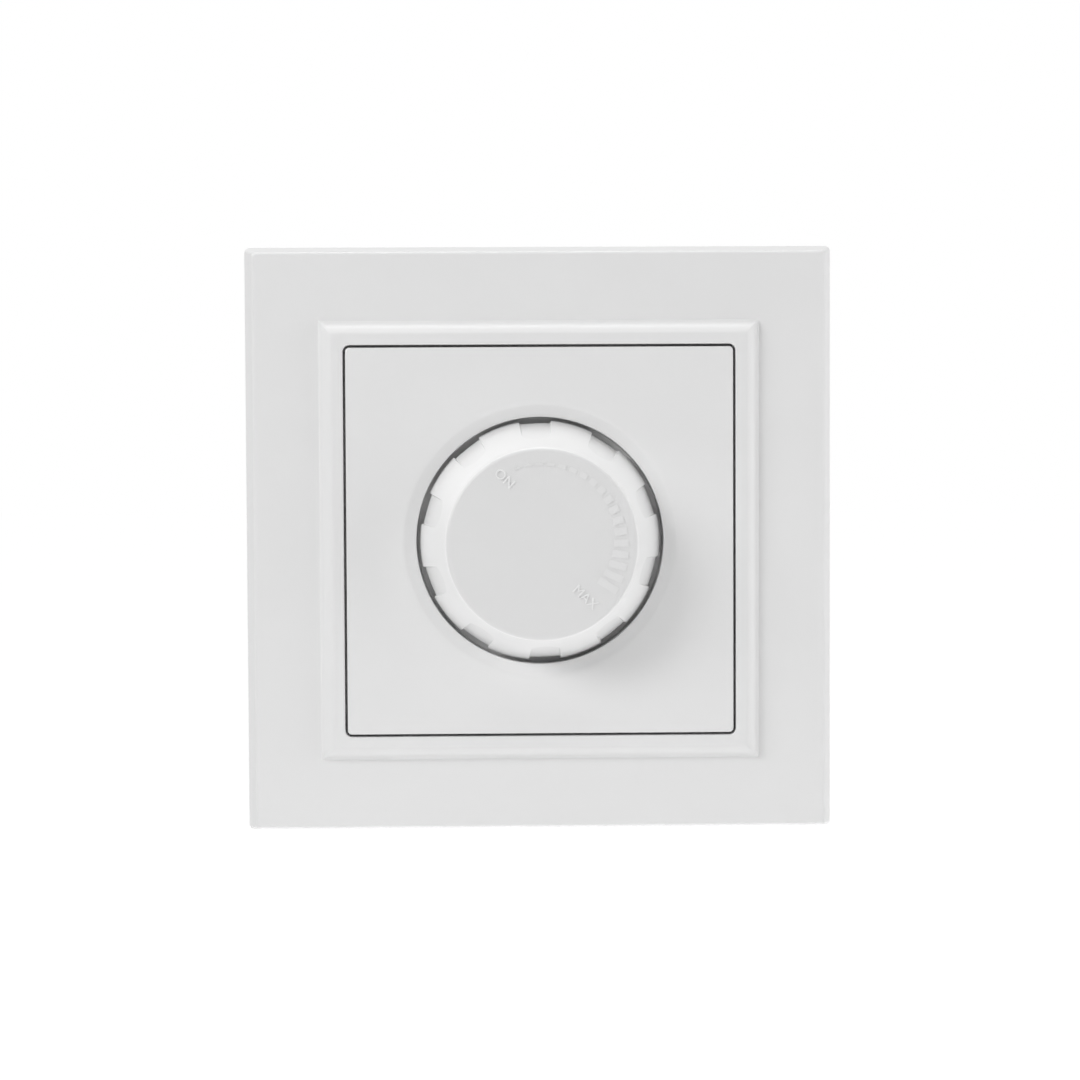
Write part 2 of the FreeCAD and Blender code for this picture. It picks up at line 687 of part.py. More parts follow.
def make_centre_plate():
    body = new_body("centre_plate")
    plate_back = "front - plate_thick"
    plate = new_sketch(body, "XZ_Plane", plate_back)
    draw_rounded_square(plate, "plate_half", "plate_corner")
    pad(body, plate, "plate_thick")
    skirt = new_sketch(body, "XZ_Plane", "ledge_front")
    draw_rounded_square(skirt, "plate_half", "plate_corner")
    draw_square(skirt, "plate_half - skirt_wall")
    pad(body, skirt, f"{plate_back} - ledge_front")
    well = new_sketch(body, "XZ_Plane", "support_thick")
    draw_circle(well, "well_radius + well_wall")
    pad(body, well, f"{plate_back} - support_thick")
    dish = new_sketch(body, "XY_Plane")
    above = "-(front + dish_depth)"
    draw_outline(dish, [
        ("0", "-(floor_front)"), ("well_radius", "-(floor_front)"), ("well_radius", "-(mouth)"),
        ("dish_radius", "-(front)"), ("dish_radius", above), ("0", above),
    ])
    turn(body, dish, "Groove")
    hole = new_sketch(body, "XZ_Plane", "floor_front")
    draw_circle(hole, "neck_radius + run_fit")
    pocket(body, hole, "floor_thick")


# Knob: a hollow cone with a hub and ribs inside and ten finger grips outside.

def make_knob():
    body = turned_body("knob", [
        ("0", "face"), ("face_radius", "face"), ("rim_radius", "rim"), ("inner_rim", "rim"),
        ("inner_roof", "roof"), ("hub_radius", "roof"), ("hub_radius", "hub_end"), ("0", "hub_end"),
    ])
    doc.recompute()
    face_edge = [
        f"Edge{number}" for number, edge in enumerate(body.Tip.Shape.Edges, start=1)
        if isinstance(edge.Curve, Part.Circle)
        and abs(edge.Curve.Radius - value("face_radius")) < value("run_fit")
    ]
    round_edges(body, face_edge, "face_round")
    # A grip is left by a round cutter that leans in with the cone and ends as it runs out
    grip = new_sketch(body, "XZ_Plane", "rim")
    lean = FreeCAD.Rotation(FreeCAD.Vector(1, 0, 0), 1)
    grip.AttachmentOffset = FreeCAD.Placement(FreeCAD.Vector(), lean)
    bind(grip, "AttachmentOffset.Base.y", "rim_radius - grip_depth")
    bind(grip, "AttachmentOffset.Rotation.Angle", "atan(knob_slope - grip_depth / grip_reach)")
    draw_circle(grip, "grip_radius", "0", "grip_radius")
    grips = pocket(body, grip, "2 * grip_reach", both_ways=True)
    round_pattern(body, grips, "grip_count")
    # Ribs that bite a little into the hub, the roof and the wall
    rib = new_sketch(body, "XY_Plane")
    bite = "knob_wall / 4"
    foot = "-(roof - rib_depth)"
    wall_at_foot = f"inner_roof + knob_slope * rib_depth + {bite}"
    draw_outline(rib, [
        (f"hub_radius - {bite}", f"-(roof + {bite})"), (f"inner_roof + {bite}", f"-(roof + {bite})"),
        (wall_at_foot, foot), (f"hub_radius - {bite}", foot),
    ])
    ribs = pad(body, rib, "rib_thick", both_ways=True)
    round_pattern(body, ribs, "rib_count")
    # D-shaped bore, with room for the spring clip on its flat
    bore = new_sketch(body, "XZ_Plane", "hub_end")
    edge = "sqrt(hub_bore^2 - bore_flat^2)"
    draw_outline(bore, [
        (edge, "bore_flat"), (f"-({edge})", "bore_flat", "hub_bore", 1),
        ("0", "-(hub_bore)", "hub_bore", 1),
    ])
    pocket(body, bore, "roof - hub_end", along=True)
    set_turn(body, "grip_phase")


def make_knob_clip():
    """A strip of spring steel between the spindle's flat and the hub."""
    strip = block("-(clip_width / 2)", "clip_width / 2", "flat_place", "bore_flat", "hub_end",
                  "spindle_end")
    clip = group(strip)
    set_turn(clip, "grip_phase")
    keep(clip, "knob_clip")


def make_spindle():
    body = turned_body("spindle", [
        ("0", "spindle_end"), ("spindle_radius", "spindle_end"),
        ("spindle_radius", "ring_front"), ("spindle_radius - ring_groove", "ring_front"),
        ("spindle_radius - ring_groove", "ring_back"), ("spindle_radius", "ring_back"),
        ("spindle_radius", "disc_back"), ("tail_radius", "disc_back"),
        ("tail_radius", "can_back"), ("0", "can_back"),
    ])
    flat = new_sketch(body, "XZ_Plane", "spindle_end")
    draw_box(flat, "-(spindle_radius)", "spindle_radius", "flat_place", "2 * spindle_radius")
    pocket(body, flat, "spindle_end - hub_end")
    set_turn(body, "grip_phase")


def make_spindle_ring():
    """A retaining ring, open on one side, in the spindle's groove."""
    body = turned_body("spindle_ring", [
        ("spindle_radius - ring_groove", "ring_back"),
        ("spindle_radius - ring_groove + ring_width", "ring_back"),
        ("spindle_radius - ring_groove + ring_width", "ring_front"),
        ("spindle_radius - ring_groove", "ring_front"),
    ])
    mouth = new_sketch(body, "XZ_Plane", "ring_front")
    draw_box(mouth, "-(ring_width)", "ring_width", "-(2 * spindle_radius)", "0")
    pocket(body, mouth, "ring_thick")


def make_fixing_nut():
    body = new_body("fixing_nut")
    drawing = new_sketch(body, "XZ_Plane", "washer_front")
    tip = "(nut_flats / sqrt(3))"
    draw_outline(drawing, [
        (tip, "0"), (f"{tip} / 2", "nut_flats / 2"), (f"-({tip}) / 2", "nut_flats / 2"),
        (f"-({tip})", "0"), (f"-({tip}) / 2", "-(nut_flats / 2)"), (f"{tip} / 2", "-(nut_flats / 2)"),
    ])
    draw_circle(drawing, "neck_radius")
    pad(body, drawing, "nut_thick")


def make_lock_washer():
    body = new_body("lock_washer")
    drawing = new_sketch(body, "XZ_Plane", "floor_front")
    draw_circle(drawing, "washer_radius")
    draw_circle(drawing, "neck_radius + run_fit")
    pad(body, drawing, "washer_thick")
    gap = new_sketch(body, "XZ_Plane", "washer_front")
    draw_patch(gap, "0", "washer_radius", "tooth_depth / 2", "tooth_depth")
    gaps = pocket(body, gap, "washer_thick")
    round_pattern(body, gaps, "washer_teeth")


# Support plate: stamped steel with slots for the wall box screws.

def make_support_plate():
    body = new_body("support_plate")
    across, up = "support_side - support_cut", "support_top - support_cut"
    plate = new_sketch(body, "XZ_Plane")
    draw_outline(plate, [
        (across, "-(support_top)"), ("support_side", f"-({up})"), ("support_side", up),
        (across, "support_top"), (f"-({across})", "support_top"), ("-(support_side)", up),
        ("-(support_side)", f"-({up})"), (f"-({across})", "-(support_top)"),
    ])
    pad(body, plate, "support_thick")
    holes = new_sketch(body, "XZ_Plane", "support_thick")
    draw_circle(holes, "neck_radius + run_fit")
    draw_circle(holes, "bolt_radius", "bolt_place", "triac_middle")
    draw_patch(holes, "0", "lug_place", "lug_width / 2 + run_fit", "lug_width / 2 + run_fit")
    window, room = "(hook_outer + hook_inner) / 2", "hook_thick / 2 + window_play"
    straight = "slot_length / 2 - slot_radius"
    for side in ("-1", "1"):
        draw_circle(holes, "key_radius", "0", f"{side} * screw_spacing / 2")
        draw_patch(holes, f"{side} * screw_spacing / 2", "0", straight, "slot_radius")
    pocket(body, holes, "support_thick")
    # Windows for the housing's hooks and notches for a neighbouring plate
    windows = new_sketch(body, "XZ_Plane", "support_thick")
    for side in ("-1", "1"):
        draw_patch(windows, f"{side} * {window}", "0", room, "window_width / 2")
        draw_patch(windows, "0", f"{side} * {window}", "window_width / 2", room)
        draw_patch(windows, "0", f"{side} * support_top", "tab_width / 2", "tab_depth")
    pocket(body, windows, "support_thick")
    # Round ends of the two slots
    for end in ("-1", "1"):
        ends = new_sketch(body, "XZ_Plane", "support_thick")
        for side in ("-1", "1"):
            place = f"{side} * screw_spacing / 2 + {end} * ({straight})"
            draw_circle(ends, "slot_radius", place, "0")
        pocket(body, ends, "support_thick")


# Base housing: a moulded cup with round corners, hooks, posts and terminal chambers.

def draw_guide(drawing, inset):
    """The wire guide's outline in the side wall, drawn in by the inset."""
    draw_box(drawing, f"-(room_flat - {inset})", f"room_flat - {inset}",
             f"-(guide_front) + {inset}", f"-(guide_back) - {inset}")


def make_base_housing():
    body = new_body("base_housing")
    outside = new_sketch(body, "XZ_Plane", "housing_back")
    draw_flattened_circle(outside, "housing_half", "housing_round")
    pad(body, outside, "-(housing_back)")
    room = new_sketch(body, "XZ_Plane")
    draw_flattened_circle(room, "room_half", "room_round")
    pocket(body, room, "-(room_back)")
    posts = new_sketch(body, "XZ_Plane", "room_back")
    draw_circle(posts, "post_radius", "post_place", "0")
    draw_circle(posts, "post_radius", "-(post_place)", "0")
    draw_circle(posts, "post_radius", "0", "post_place")
    pad(body, posts, "solder_room")
    # Walls between the terminals
    walls = new_sketch(body, "XZ_Plane", "room_back")
    for step in ("-1.5", "-0.5", "0.5", "1.5"):
        middle = f"{step} * terminal_pitch"
        draw_box(walls, f"{middle} - rib_wall / 2", f"{middle} + rib_wall / 2",
                 "-(room_half)", "cage_high")
    pad(body, walls, "cage_front - room_back")
    # Stepped window for the wire guide
    window = new_sketch(body, "XY_Plane", "-(housing_half)")
    draw_guide(window, "guide_step")
    pocket(body, window, "housing_wall", along=True)
    rebate = new_sketch(body, "XY_Plane", "-(housing_half - housing_wall / 2)")
    draw_guide(rebate, "0")
    pocket(body, rebate, "housing_wall / 2", along=True)
    shanks = new_sketch(body, "XZ_Plane", "room_back")
    heads = new_sketch(body, "XZ_Plane", "room_back - web_thick")
    for step in ("-1", "0", "1"):
        across = f"{step} * terminal_pitch"
        draw_circle(shanks, "screw_radius + run_fit", across, "cage_middle")
        draw_circle(heads, "screw_head + head_play", across, "cage_middle")
    pocket(body, shanks, "web_thick")
    pocket(body, heads, "rear_wall - web_thick")
    # Hooks that reach through the support plate, each with a barb on its inner side
    for angle in (0, 90, 180, 270):
        hook = new_sketch(body, "XY_Plane")
        turned = FreeCAD.Rotation(FreeCAD.Vector(0, 1, 0), angle)
        hook.AttachmentOffset = FreeCAD.Placement(FreeCAD.Vector(), turned)
        draw_outline(hook, [
            ("hook_inner", "housing_wall"), ("hook_outer", "housing_wall"),
            ("hook_outer", "-(support_thick + hook_head)"),
            ("hook_inner", "-(support_thick + hook_head)"),
            ("hook_inner - hook_barb", "-(support_thick)"), ("hook_inner", "-(support_thick)"),
        ])
        pad(body, hook, "hook_width", both_ways=True)


def make_wire_guide():
    """A stepped plate in the side wall, with the three wire entries."""
    body = new_body("wire_guide")
    plug = new_sketch(body, "XY_Plane", "-(housing_half)")
    draw_guide(plug, "(guide_step + guide_play)")
    pad(body, plug, "housing_wall / 2")
    flange = new_sketch(body, "XY_Plane", "-(housing_half - housing_wall / 2)")
    draw_guide(flange, "guide_play")
    pad(body, flange, "housing_wall / 2")
    entries = new_sketch(body, "XY_Plane", "-(housing_half)")
    for step in ("-1", "0", "1"):
        draw_circle(entries, "wire_radius", f"{step} * terminal_pitch", "-(wire_level)")
    pocket(body, entries, "housing_wall", along=True)


# Potentiometer with its rotary switch.

def make_pot():
    bushing = turned_body("pot_bushing", [
        ("neck_bore", "neck_front"), ("neck_radius", "neck_front"), ("neck_radius", "0"),
        ("pot_radius", "0"), ("pot_radius", "disc_back"), ("neck_bore", "disc_back"),
    ])
    lug = new_sketch(bushing, "XZ_Plane", "disc_back / 2")
    draw_patch(lug, "0", "lug_place", "lug_width / 2", "lug_width / 2")
    pad(bushing, lug, "support_thick - disc_back / 2")

    wafer = new_body("track_wafer")
    disc = new_sketch(wafer, "XZ_Plane", "wafer_back")
    draw_circle(disc, "pot_radius")
    draw_circle(disc, "rotor_hub")
    pad(wafer, disc, "wafer_thick")
    tongue = new_sketch(wafer, "XZ_Plane", "wafer_back")
    draw_box(tongue, "track_radius", "pot_radius + tongue_reach", "-(tongue_width / 2)",
             "tongue_width / 2")
    pad(wafer, tongue, "wafer_thick")

    pins = [
        block("pin_place - pin_thick / 2", "pin_place + pin_thick / 2",
              f"{step} * pin_pitch - pin_width / 2", f"{step} * pin_pitch + pin_width / 2",
              "pin_end", "wafer_back")
        for step in ("-1", "0", "1")
    ]
    keep(group(*pins), "track_pins")

    can = turned_body("pot_can", [
        ("pot_radius", "wafer_back"), ("pot_radius", "can_back"),
        ("rotor_hub + rotor_gap", "can_back"), ("rotor_hub + rotor_gap", "can_back + can_wall"),
        ("can_inner", "can_back + can_wall"), ("can_inner", "wafer_back"),
    ])
    stop = new_sketch(can, "XZ_Plane", "rotor_back")
    bedded = "can_inner + can_wall / 2"
    shoulder = f"sqrt(({bedded})^2 - (stop_width / 2)^2)"
    draw_outline(stop, [
        ("-(stop_width / 2)", "can_inner - stop_reach"), ("stop_width / 2", "can_inner - stop_reach"),
        ("stop_width / 2", shoulder, bedded, 1), ("-(stop_width / 2)", shoulder),
    ])
    pad(can, stop, "rotor_disc")
    set_turn(can, "180 - (360 - turn_range) / 2")

    cup = turned_body("switch_cup", [
        ("pot_radius", "can_back"), ("pot_radius", "cup_back"), ("0", "cup_back"),
        ("0", "cup_back + switch_wall"), ("pot_radius - switch_wall", "cup_back + switch_wall"),
        ("pot_radius - switch_wall", "can_back"),
    ])
    holes = new_sketch(cup, "XZ_Plane", "cup_back + switch_wall")
    draw_circle(holes, "stem_radius", "-(arm_root)", "-(arm_middle)")
    draw_box(holes, "contact_left", "arm_tip", "-(contact_low)", "-(contact_high)")
    pocket(cup, holes, "switch_wall")


def make_rotor():
    """The moulded rotor turns with the spindle: it carries the wiper, meets the stop and works
    the switch."""
    body = turned_body("rotor", [
        ("tail_radius", "wafer_back"), ("rotor_hub - rotor_gap", "wafer_back"),
        ("rotor_hub - rotor_gap", "wiper_back"), ("rotor_radius", "wiper_back"),
        ("rotor_radius", "rotor_back"), ("rotor_hub", "rotor_back"), ("rotor_hub", "cam_back"),
        ("0", "cam_back"), ("0", "can_back"), ("tail_radius", "can_back"),
    ])
    lug = new_sketch(body, "XZ_Plane", "rotor_back")
    reach = "sqrt((can_inner - rotor_gap)^2 - (stop_lug / 2)^2)"
    draw_box(lug, "-(stop_lug / 2)", "stop_lug / 2", "rotor_hub", reach)
    pad(body, lug, "rotor_disc")
    cam = new_sketch(body, "XZ_Plane", "cam_back")
    draw_box(cam, "-(cam_width / 2)", "cam_width / 2", "0", "cam_radius")
    pad(body, cam, "cam_length")
    set_turn(body, "180 + turn_shown")

    wiper = new_body("wiper")
    ring = new_sketch(wiper, "XZ_Plane", "wiper_back")
    draw_circle(ring, "wiper_ring")
    draw_circle(ring, "rotor_hub - rotor_gap")
    pad(wiper, ring, "wiper_thick")
    arm = new_sketch(wiper, "XZ_Plane", "wiper_back")
    draw_box(arm, "-(wiper_width / 2)", "wiper_width / 2", "rotor_hub", "track_radius + dimple_radius")
    pad(wiper, arm, "wiper_thick")
    dimple = new_sketch(wiper, "XZ_Plane", "wiper_back")
    draw_circle(dimple, "dimple_radius", "0", "track_radius")
    pad(wiper, dimple, "wiper_thick + wiper_lift - touch_gap")
    set_turn(wiper, "180 + turn_shown")


def make_switch_contacts():
    """The contact arm turns on a post and meets the fixed contact from below."""
    body = new_body("contact_arm")
    eye = new_sketch(body, "XZ_Plane", "cam_back")
    draw_circle(eye, "eye_radius", "-(arm_root)", "-(arm_middle)")
    pad(body, eye, "arm_width")
    blade = new_sketch(body, "XZ_Plane", "cam_back")
    draw_box(blade, "-(arm_root)", "arm_tip", "-(arm_top + arm_thick)", "-(arm_top)")
    pad(body, blade, "arm_width")
    bore = new_sketch(body, "XZ_Plane", "cam_front")
    draw_circle(bore, "stem_radius + run_fit", "-(arm_root)", "-(arm_middle)")
    pocket(body, bore, "arm_width")
    keep(rod("stem_radius", "-(arm_root)", "-(arm_middle)", "pin_end", "cam_front + rotor_gap"),
         "arm_post")
    keep(block("contact_left", "arm_tip", "-(contact_low)", "-(contact_high)", "pin_end", "cam_front"),
         "fixed_contact")


# Circuit board and the parts soldered to it.

def make_circuit_board():
    body = new_body("circuit_board")
    outline = new_sketch(body, "XZ_Plane", "board_back")
    draw_flattened_circle(outline, "board_half", "board_round")
    pad(body, outline, "board_thick")
    below = new_sketch(body, "XZ_Plane", "board_front")
    draw_box(below, "-(board_half)", "board_half", "-(board_round)", "board_low")
    pocket(body, below, "board_thick")
    holes = new_sketch(body, "XZ_Plane", "board_front")
    for step in ("-1", "0", "1"):
        draw_patch(holes, "pin_place", f"{step} * pin_pitch", "pin_thick / 2 + run_fit",
                   "pin_width / 2 + run_fit")
        draw_patch(holes, "leg_bend", f"triac_middle + {step} * leg_pitch",
                   "leg_thick / 2 + run_fit", "leg_width / 2 + run_fit")
        draw_patch(holes, f"{step} * terminal_pitch", "bar_pin", "pin_width / 2 + run_fit",
                   "bar_thick / 2 + run_fit")
    for _, length, up in AXIAL_PARTS:
        draw_circle(holes, "lead_radius + run_fit", "leads_left", up)
        draw_circle(holes, "lead_radius + run_fit", f"leads_left + {length} + 2 * lead_reach", up)
    draw_circle(holes, "stem_radius + run_fit", "-(arm_root)", "-(arm_middle)")
    draw_box(holes, "contact_left - run_fit", "arm_tip + run_fit", "-(contact_low) - run_fit",
             "-(contact_high) + run_fit")
    pocket(body, holes, "board_thick")


def make_choke():
    """A ferrite ring with its winding round it, lying on the board."""
    half, outer = "core_thick / 2", "core_thick / 2 + wire_build"
    core = turned_body("choke_core", [
        ("core_bore", half), ("core_radius", half), ("core_radius", f"-({half})"),
        ("core_bore", f"-({half})"),
    ])
    set_place(core, "-(choke_place)", "choke_place", "choke_middle")
    winding = turned_body("choke_winding", [
        ("core_bore - wire_build", outer), ("choke_radius", outer), ("choke_radius", f"-({outer})"),
        ("core_bore - wire_build", f"-({outer})"),
    ])
    inside = new_sketch(winding, "XY_Plane")
    draw_box(inside, "core_bore", "core_radius", f"-({half})", half)
    turn(winding, inside, "Groove")
    # A bare stretch of the ring lies between the winding's two ends
    gap = new_sketch(winding, "XZ_Plane", outer)
    draw_box(gap, "-(wire_build)", "wire_build", "0", "choke_radius")
    pocket(winding, gap, f"2 * ({outer})")
    set_place(winding, "-(choke_place)", "choke_place", "choke_middle")


def make_capacitors():
    keep(block("film_left", "film_left + film_width", "film_low", "film_high", "board_front",
               "board_front + film_height"), "mains_capacitor")
    high = "film_low - part_gap"
    keep(block("film_left", "film_left + box_width", f"{high} - box_thick", high, "board_front",
               "board_front + box_height"), "timing_capacitor")


AXIAL_PARTS = (
    ("resistor_radius", "resistor_length", "leads_low"),
    ("resistor_radius", "resistor_length", "leads_low + resistor_pitch"),
    ("diode_radius", "diode_length", "leads_low + 2 * resistor_pitch"),
)


def axial_part(radius, length, up):
    """A round body on two bent leads."""
    level = f"board_front + lead_lift + {radius}"
    start, end = "leads_left + lead_reach", f"leads_left + lead_reach + {length}"
    last = f"{end} + lead_reach"
    return fuse(
        rod_across(radius, start, end, up, level),
        rod_across("lead_neck", "leads_left", last, up, level),
        rod("lead_radius", "leads_left", up, "pin_end", f"{level} + lead_radius"),
        rod("lead_radius", last, up, "pin_end", f"{level} + lead_radius"),
    )


def make_axial_parts():
    first, second, diode = [axial_part(*sizes) for sizes in AXIAL_PARTS]
    keep(group(first, second), "resistors")
    keep(diode, "trigger_diode")


def make_fuse():
    """A glass fuse, upright beside the potentiometer, in two spring clips."""
    place, low = "-(fuse_place)", "fuse_high - fuse_length"

    def glass():
        inset = "cap_length / 4"
        return rod_up("tube_radius", place, "fuse_level", f"{low} + {inset}", f"fuse_high - {inset}")

    keep(glass(), "fuse_tube")
    caps = []
    clips = []
    for start in (low, "fuse_high - cap_length"):
        cap = rod_up("cap_radius", place, "fuse_level", start, f"{start} + cap_length")
        caps.append(cut(cap, glass()))
        bottom = f"{start} + (cap_length - spring_width) / 2"
        top = f"{bottom} + spring_width"
        outer = "cap_radius + spring_thick"
        strip = block(f"{place} - ({outer})", f"{place} + {outer}", bottom, top, "board_front",
                      "fuse_level + cap_radius / 2")
        inside = block(f"{place} - cap_radius", f"{place} + cap_radius", start, f"{start} + cap_length",
                       "board_front + spring_thick", "fuse_level + cap_radius")
        clips.append(cut(strip, inside))
    keep(group(*caps), "fuse_caps")
    keep(group(*clips), "fuse_clips")


def make_triac():
    """The power switch lies against the support plate, which takes its heat."""
    low, high = "triac_low", "triac_low + triac_width"
    shoulder = "triac_left + triac_tab"
    moulding = block(shoulder, "triac_right", low, high, "-(triac_thick)", "0")
    tab = block("triac_left", shoulder, low, high, "-(tab_thick)", "0")
    hole = rod("bolt_radius", "bolt_place", "triac_middle", "-(tab_thick)", "0")
    legs = []
    level = "-(triac_thick / 2)"
    bend_right = "leg_bend + leg_thick / 2"
    for step in ("-1", "0", "1"):
        middle = f"triac_middle + {step} * leg_pitch"
        bottom, top = f"{middle} - leg_width / 2", f"{middle} + leg_width / 2"
        legs.append(block("triac_right", bend_right, bottom, top, f"{level} - leg_thick", level))
        legs.append(block("leg_bend - leg_thick / 2", bend_right, bottom, top, "pin_end", level))
    keep(fuse(moulding, cut(tab, hole), *legs), "power_triac")
    head_back = "-(tab_thick + bolt_thick)"
    head = rod("bolt_head", "bolt_place", "triac_middle", head_back, "-(tab_thick)")
    shank = rod("bolt_radius", "bolt_place", "triac_middle", "-(tab_thick)", "support_thick")
    slot = block("bolt_place - driver_width / 2", "bolt_place + driver_width / 2",
                 "triac_middle - bolt_head", "triac_middle + bolt_head", head_back,
                 f"{head_back} + driver_depth")
    keep(cut(fuse(head, shank), slot), "triac_screw")


# Terminals: a captive screw draws a cage up, and its sole presses the wire to a fixed bar.

def make_terminal(name, step):
    across = f"{step} * terminal_pitch"
    cage = block(f"{across} - cage_width / 2", f"{across} + cage_width / 2", "cage_low", "cage_high",
                 "cage_back", "cage_front")
    room = "cage_width / 2 - cage_side"
    way = block(f"{across} - ({room})", f"{across} + {room}", "cage_low", "cage_high",
                "cage_back + cage_wall", "cage_front - cage_sole")
    thread = rod("screw_radius + run_fit", across, "cage_middle", "cage_back", "cage_back + cage_wall")
    keep(cut(cage, way, thread), f"{name}_cage")

    bar = block(f"{across} - bar_width / 2", f"{across} + bar_width / 2", "cage_low",
                "bar_pin + bar_thick / 2", "bar_back", "bar_front")
    pin = block(f"{across} - pin_width / 2", f"{across} + pin_width / 2", "bar_pin - bar_thick / 2",
                "bar_pin + bar_thick / 2", "pin_end", "bar_back")
    keep(fuse(bar, pin), f"{name}_bar")

    head = rod("screw_head", across, "cage_middle", "head_back", "head_front")
    shank = rod("screw_radius", across, "cage_middle", "head_front", "screw_tip")
    slot = block(f"{across} - screw_head", f"{across} + screw_head", "cage_middle - driver_width / 2",
                 "cage_middle + driver_width / 2", "head_back", "head_back + driver_depth")
    keep(cut(fuse(head, shank), slot), f"{name}_screw")


TERMINALS = (("live", "-1"), ("load", "0"), ("two_way", "1"))

make_cover_frame()
make_centre_plate()
make_knob()
make_knob_clip()
make_spindle()
make_spindle_ring()
make_fixing_nut()
make_lock_washer()
make_support_plate()
make_base_housing()
make_wire_guide()
make_pot()
make_rotor()
make_switch_contacts()
make_circuit_board()
make_choke()
make_capacitors()
make_axial_parts()
make_fuse()
make_triac()
for terminal, place_step in TERMINALS:
    make_terminal(terminal, place_step)
doc.recompute()


def check():
    """Every object is sound, and every pocket and groove took something away."""
    for thing in doc.Objects:
        if "Invalid" in thing.State or "Error" in thing.State:
            raise RuntimeError(f"{thing.Label} failed: {thing.State}")
        if thing.TypeId in ("PartDesign::Pocket", "PartDesign::Groove"):
            before = thing.BaseFeature.Shape.Volume
            if thing.Shape.Volume > before - 1e-6:
                raise RuntimeError(f"{thing.Label} cuts nothing")
    for thing in nodes:
        if thing.Shape.isNull() or not thing.Shape.isValid():
            raise RuntimeError(f"{thing.Label} has no valid shape")


check()
os.makedirs("parts", exist_ok=True)
for thing in nodes:
    thing.Shape.exportStep(f"parts/{thing.Label}.step")
print(len(nodes), "sub-parts written")
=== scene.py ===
"""Rotary dimmer switch, dressed over its frame of CAD parts.

The wall is the plane Y = 0, the room lies towards -Y and +Z is up. A level is a height above
the wall, towards the room. All lengths are in metres.
"""
import math

import bmesh
import bpy
import numpy as np
from bpy.props import FloatProperty, FloatVectorProperty, IntProperty, PointerProperty
from bpy.types import Operator, Panel, PropertyGroup
from mathutils import Matrix, Vector


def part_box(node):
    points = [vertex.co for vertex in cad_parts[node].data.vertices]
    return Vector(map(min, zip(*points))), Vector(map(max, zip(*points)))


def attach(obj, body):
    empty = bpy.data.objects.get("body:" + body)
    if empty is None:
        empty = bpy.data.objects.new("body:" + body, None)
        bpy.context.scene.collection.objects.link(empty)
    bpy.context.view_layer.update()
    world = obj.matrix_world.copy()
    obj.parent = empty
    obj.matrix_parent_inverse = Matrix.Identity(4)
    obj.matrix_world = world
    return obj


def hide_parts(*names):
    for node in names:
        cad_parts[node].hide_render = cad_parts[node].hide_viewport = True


bl_info = {
    "name": "Rotary dimmer",
    "version": (1, 0, 0),
    "blender": (4, 5, 0),
    "location": "View3D > Sidebar > Dimmer",
    "description": "Builds the visible pieces and finishes of a rotary dimmer switch",
    "category": "Add Mesh",
}

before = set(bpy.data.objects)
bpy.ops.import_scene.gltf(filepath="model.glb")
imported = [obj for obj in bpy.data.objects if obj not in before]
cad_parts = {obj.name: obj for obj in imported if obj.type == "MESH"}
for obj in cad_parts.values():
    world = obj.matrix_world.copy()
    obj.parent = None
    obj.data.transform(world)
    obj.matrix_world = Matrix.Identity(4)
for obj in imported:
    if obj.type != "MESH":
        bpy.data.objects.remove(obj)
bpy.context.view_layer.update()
MM = 0.001
PICTURE = 1080  # width of the photograph's frame in pixels
SENSOR = 36.0  # width of the camera's sensor in millimetres

# Points along a shape. A plate corner is fine because it also makes the round dish and well;
# the last three lie across a grip's step, between two grips and across a grip's floor.
FRAME_CORNER, PLATE_CORNER, SWELL, CONE = 8, 40, 7, 48
STEP, BETWEEN, GRIP_FLOOR = 6, 36, 26


def size(name, millimetres, text):
    """A length that a user may change."""
    return FloatProperty(name=name, description=text, default=millimetres * MM, unit="LENGTH",
                         precision=5)


def angle(name, degrees, text):
    return FloatProperty(name=name, description=text, default=math.radians(degrees), unit="ROTATION")


def amount(name, number, text):
    return FloatProperty(name=name, description=text, default=number, subtype="FACTOR")


def colour(name, shade, text):
    return FloatVectorProperty(name=name, description=text, default=shade, subtype="COLOR", size=3,
                               min=0.0, max=1.0)


class FrameSizes(PropertyGroup):
    half: size("Half width", 41.17, "Half the cover frame's width at the wall")
    half_height: size("Half height", 41.0, "Half the cover frame's height at the wall")
    rise: size("Rise", 4.6, "Front face above the wall")
    side_taper: size("Side taper", 1.25, "Draft of the left and right sides")
    top_taper: size("Top taper", 0.8, "Draft of the top and bottom")
    edge_round: size("Edge rounding", 0.5, "Rounding of the front face's edge")
    rear_corner: size("Rear corner", 0.8, "Corner radius at the wall")
    front_corner: size("Front corner", 0.4, "Corner radius of the front face")
    mitre: size("Mitre", 0.18, "Corner radius of the raised bezel")
    bezel_foot: size("Bezel foot", 1.8, "Width of the bezel's slope")
    bezel_land: size("Bezel land", 1.55, "Flat top of the bezel")
    bezel_rise: size("Bezel rise", 2.1, "Height of the bezel")
    bezel_swell: size("Bezel swell", 0.3, "Bulge of the bezel's slope")
    arris: size("Arris", 0.22, "Rounding of the bezel's edges")
    wall: size("Wall", 1.8, "Wall of the frame")
    ledge_reach: size("Ledge reach", 1.5, "Ledge behind the centre plate")
    ledge_front: size("Ledge front", 3.2, "Front of the ledge above the wall")
    ledge_thick: size("Ledge thickness", 1.2, "Thickness of the ledge")


